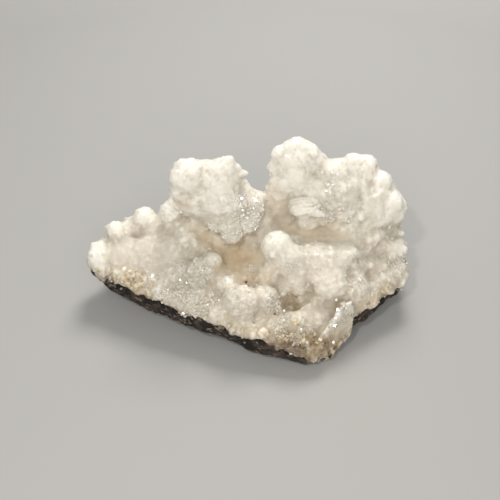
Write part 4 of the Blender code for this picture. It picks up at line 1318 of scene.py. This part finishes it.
def rock_material(rock):
    """Dark brown rock, darkened further as painted shade of the crust's overhang, with lighter grains, and
    greyish dust on its lower edge.
    """
    look = Finish("speckled_rock", rock.dark)
    cells = look.put("ShaderNodeTexVoronoi", {"Vector": look.place, "Scale": 1100.0}, "Color")
    patch = look.noise(230.0, 5.0, 0.65, 0.5)
    flattened = look.put("ShaderNodeVectorMath", {0: look.place, 1: (0.6, 0.6, 1.7)}, operation="MULTIPLY")
    streak = look.noise(560.0, 4.0, 0.7, 0.6, flattened)
    look.tint(look.ramp(patch, (0.44, 0.60)), rock.light)
    look.tint(look.ramp(streak, (0.57, 0.64), (0.0, 0.8)), rock.dust)
    pale = look.put("ShaderNodeSeparateColor", {0: cells}, "Red")
    look.tint(look.ramp(pale, (0.85, 0.95), (0.0, 0.6)), rock.dust)
    black = look.put("ShaderNodeSeparateColor", {0: cells}, "Green")
    look.tint(look.ramp(black, (0.60, 0.80), (0.0, 0.9)), rock.dark)
    low = look.ramp(look.height(), (DUST_FULL, DUST_TOP), (0.6, 0.0))
    look.tint(look.product(low, look.ramp(streak, (0.45, 0.58))), rock.dust)
    rough = look.ramp(patch, (0.3, 0.7), (0.95, 0.7))
    return look.done(Roughness=rough, Normal=look.grit(1900.0, 0.7, 0.6, 0.2 * MM))


def floor_material(stage):
    """A pale floor that fades into the background far away."""
    look = Finish("pale_floor", stage.floor)
    away = look.put("ShaderNodeVectorMath", {0: look.place}, "Value", operation="LENGTH")
    look.tint(look.ramp(away, (FLOOR_NEAR, FLOOR_FAR)), stage.far_floor)
    return look.done(Roughness=0.8)


def lamp(name, place, size, power, colour):
    data = bpy.data.lights.new(name, "AREA")
    data.size = size
    data.energy = power
    data.color = colour
    made = link(bpy.data.objects.new(name, data))
    made.location = place
    towards = Vector((0.0, 0.0, AIM_HEIGHT)) - Vector(place)
    made.rotation_euler = towards.to_track_quat("-Z", "Y").to_euler()


class SPECIMEN_OT_crust(Operator):
    """Grow the crust's skin: lumps on the knobs, grains on the lumps, and a fine ripple over all of it"""

    bl_idname = "specimen.crust"
    bl_label = "Crust"

    def execute(self, context):
        crust = context.scene.specimen_crust
        surface = milky_material(crust)
        skin = node_copy("aragonite_crust", "crust_skin")
        fuse(skin, crust.base_voxel, 3)
        view = PhotoView(skin, context.scene.specimen_stage)
        join(skin, [bumps(view)])
        fuse(skin, BUMP_VOXEL, 2)
        calm(skin, view)
        press_in(skin, view)

        room_for_growth(skin, view)
        grow = growth_tree()
        grow.put_on(skin, Radius=crust.lump_radius, Material=surface, **LUMPS)
        bake_down(skin)
        join(skin, [pointed_crystals(), fin()])
        fuse(skin, LUMP_VOXEL, 1)
        room_for_growth(skin, view)
        grow.put_on(skin, Radius=crust.grain_radius, Material=surface, **GRAINS)
        bake_down(skin)
        fuse(skin, GRAIN_VOXEL, 0)
        for spots, strength, share, settings in LAST_GROWTHS:
            mask = strength * spot_mask(view, coordinates(skin.data), spots)
            write_mask(skin.data, settings["Where"], mask)
            grow.put_on(skin, Radius=share * crust.grain_radius, Material=surface, **settings)
        bake_down(skin)
        fuse(skin, crust.skin_voxel, 0)

        raise_plates(skin, view)
        fringe(skin)
        room_for_growth(skin, view)
        ripple_tree().put_on(skin, Material=surface, **CRUST_RIPPLE)
        bake_down(skin)
        crust_masks(skin.data, view)
        thin(skin, crust.triangles)
        dress(skin, surface, smooth=True)
        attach(skin, BODY)
        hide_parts("aragonite_crust")
        return {"FINISHED"}


class SPECIMEN_OT_crystals(Operator):
    """Scatter the fine crystals that glint on the crust"""

    bl_idname = "specimen.crystals"
    bl_label = "Crystals"

    def execute(self, context):
        crystals = context.scene.specimen_crystals
        surface = glinting_material(context.scene.specimen_crust)
        druse = link(bpy.data.objects.new("fine_crystals", bpy.data.objects["crust_skin"].data.copy()))
        everywhere = crystals.sparse * read_mask(druse.data, "room")
        patches = crystals.thick * read_mask(druse.data, "drusy")
        write_mask(druse.data, "drusy", np.maximum(patches, everywhere))
        crystal_tree().put_on(
            druse,
            Spacing=crystals.spacing,
            Length=crystals.length,
            Width=CRYSTAL_WIDTH * crystals.length,
            Tilt=CRYSTAL_TILT,
            Seed=crystals.seed,
            Where="drusy",
            Material=surface,
        )
        bake_down(druse)
        dress(druse, surface, smooth=False)
        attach(druse, BODY)
        return {"FINISHED"}


class SPECIMEN_OT_grains(Operator):
    """Lay the loose cream and brown grains along the crust's rim, and the specks of dirt caught in it"""

    bl_idname = "specimen.grains"
    bl_label = "Grains"

    def execute(self, context):
        grains = context.scene.specimen_grains
        surface = grain_material(grains)
        skin = bpy.data.objects["crust_skin"]
        rim = link(bpy.data.objects.new("rim_grains", skin.data.copy()))
        cream = grains.thick * read_mask(rim.data, "cream")
        laid = np.maximum(cream, grains.along_rim * read_mask(rim.data, "rim"))
        upward = np.clip(1.0 + GRAIN_FADE * normals_of(rim.data)[:, 2], 0.0, 1.0)
        write_mask(rim.data, "drusy", laid * upward * (1.0 - read_mask(rim.data, "brown")))
        settings = {"Spacing": grains.spacing, "Size": grains.size, "Seed": grains.seed}
        grain_tree().put_on(rim, Material=surface, **settings)
        bake_down(rim)
        dress(rim, surface, smooth=False)
        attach(rim, BODY)

        specks = specks_of_dirt(PhotoView(skin, context.scene.specimen_stage))
        dress(specks, dirt_material(context.scene.specimen_crust), smooth=False)
        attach(specks, BODY)
        return {"FINISHED"}


class SPECIMEN_OT_rock(Operator):
    """Roughen the rock's broken edge and underside"""

    bl_idname = "specimen.rock"
    bl_label = "Rock"

    def execute(self, context):
        rock = context.scene.specimen_rock
        surface = rock_material(rock)
        plate = node_copy("rock_matrix", "rock_plate")
        ripples = {label: share * rock.roughness for label, share in ROCK_RIPPLE.items()}
        for rounds, tree, settings in (
            (1, growth_tree(), {"Radius": rock.chip, **ROCK_CHIPS}),
            (0, ripple_tree(), ripples),
        ):
            fuse(plate, rock.voxel, rounds)
            write_mask(plate.data, "room", np.ones(len(plate.data.vertices)))
            tree.put_on(plate, Material=surface, **settings)
            bake_down(plate)
        co = coordinates(plate.data)
        co[:, 2] = np.maximum(co[:, 2], 0.0)
        move_to(plate.data, co)
        thin(plate, rock.triangles)
        dress(plate, surface, smooth=True)
        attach(plate, BODY)
        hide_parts("rock_matrix")
        return {"FINISHED"}


class SPECIMEN_OT_stage(Operator):
    """Make the floor, the soft lights and the camera"""

    bl_idname = "specimen.stage"
    bl_label = "Stage"

    def execute(self, context):
        stage = context.scene.specimen_stage
        bm = bmesh.new()
        bmesh.ops.create_grid(bm, x_segments=1, y_segments=1, size=FLOOR_SIZE)
        floor = shape("floor", bm)
        dress(floor, floor_material(stage), smooth=False)

        world = bpy.data.worlds.new("studio")
        context.scene.world = world
        world.use_nodes = True
        background = world.node_tree.nodes["Background"]
        background.inputs["Color"].default_value = SKY_COLOUR
        background.inputs["Strength"].default_value = SKY_STRENGTH
        for settings in LAMPS:
            lamp(*settings)

        data = bpy.data.cameras.new("camera")
        data.sensor_width = SENSOR_WIDTH
        data.lens = stage.lens
        data.clip_start = NEAREST_SEEN
        camera = link(bpy.data.objects.new("camera", data))
        camera.location = camera_place(stage)
        camera.rotation_euler = (math.pi / 2 - stage.elevation, 0.0, 0.0)
        context.scene.camera = camera
        context.scene.view_settings.view_transform = "Standard"
        return {"FINISHED"}


class SPECIMEN_PT_panel(Panel):
    """The specimen's settings and steps"""

    bl_label = "Aragonite Specimen"
    bl_idname = "SPECIMEN_PT_panel"
    bl_space_type = "VIEW_3D"
    bl_region_type = "UI"
    bl_category = "Specimen"

    def draw(self, context):
        for group in GROUPS:
            box = self.layout.box()
            holder = getattr(context.scene, group)
            for key in holder.bl_rna.properties.keys():
                if key not in ("rna_type", "name"):
                    box.prop(holder, key)
        for step in STEPS:
            self.layout.operator(step.bl_idname)


GROUPS = {
    "specimen_crust": SpecimenCrust,
    "specimen_crystals": SpecimenCrystals,
    "specimen_grains": SpecimenGrains,
    "specimen_rock": SpecimenRock,
    "specimen_stage": SpecimenStage,
}
# The rock comes first, because the crust's rim is found from it
STEPS = [
    SPECIMEN_OT_rock,
    SPECIMEN_OT_crust,
    SPECIMEN_OT_crystals,
    SPECIMEN_OT_grains,
    SPECIMEN_OT_stage,
]


def register():
    for kind in [*GROUPS.values(), *STEPS, SPECIMEN_PT_panel]:
        bpy.utils.register_class(kind)
    for key, kind in GROUPS.items():
        setattr(bpy.types.Scene, key, PointerProperty(type=kind))


def unregister():
    for key in GROUPS:
        delattr(bpy.types.Scene, key)
    for kind in [SPECIMEN_PT_panel, *STEPS[::-1], *list(GROUPS.values())[::-1]]:
        bpy.utils.unregister_class(kind)


def main():
    register()
    for step in STEPS:
        area, name = step.bl_idname.split(".")
        getattr(getattr(bpy.ops, area), name)()
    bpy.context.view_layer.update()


if __name__ == "__main__":
    main()
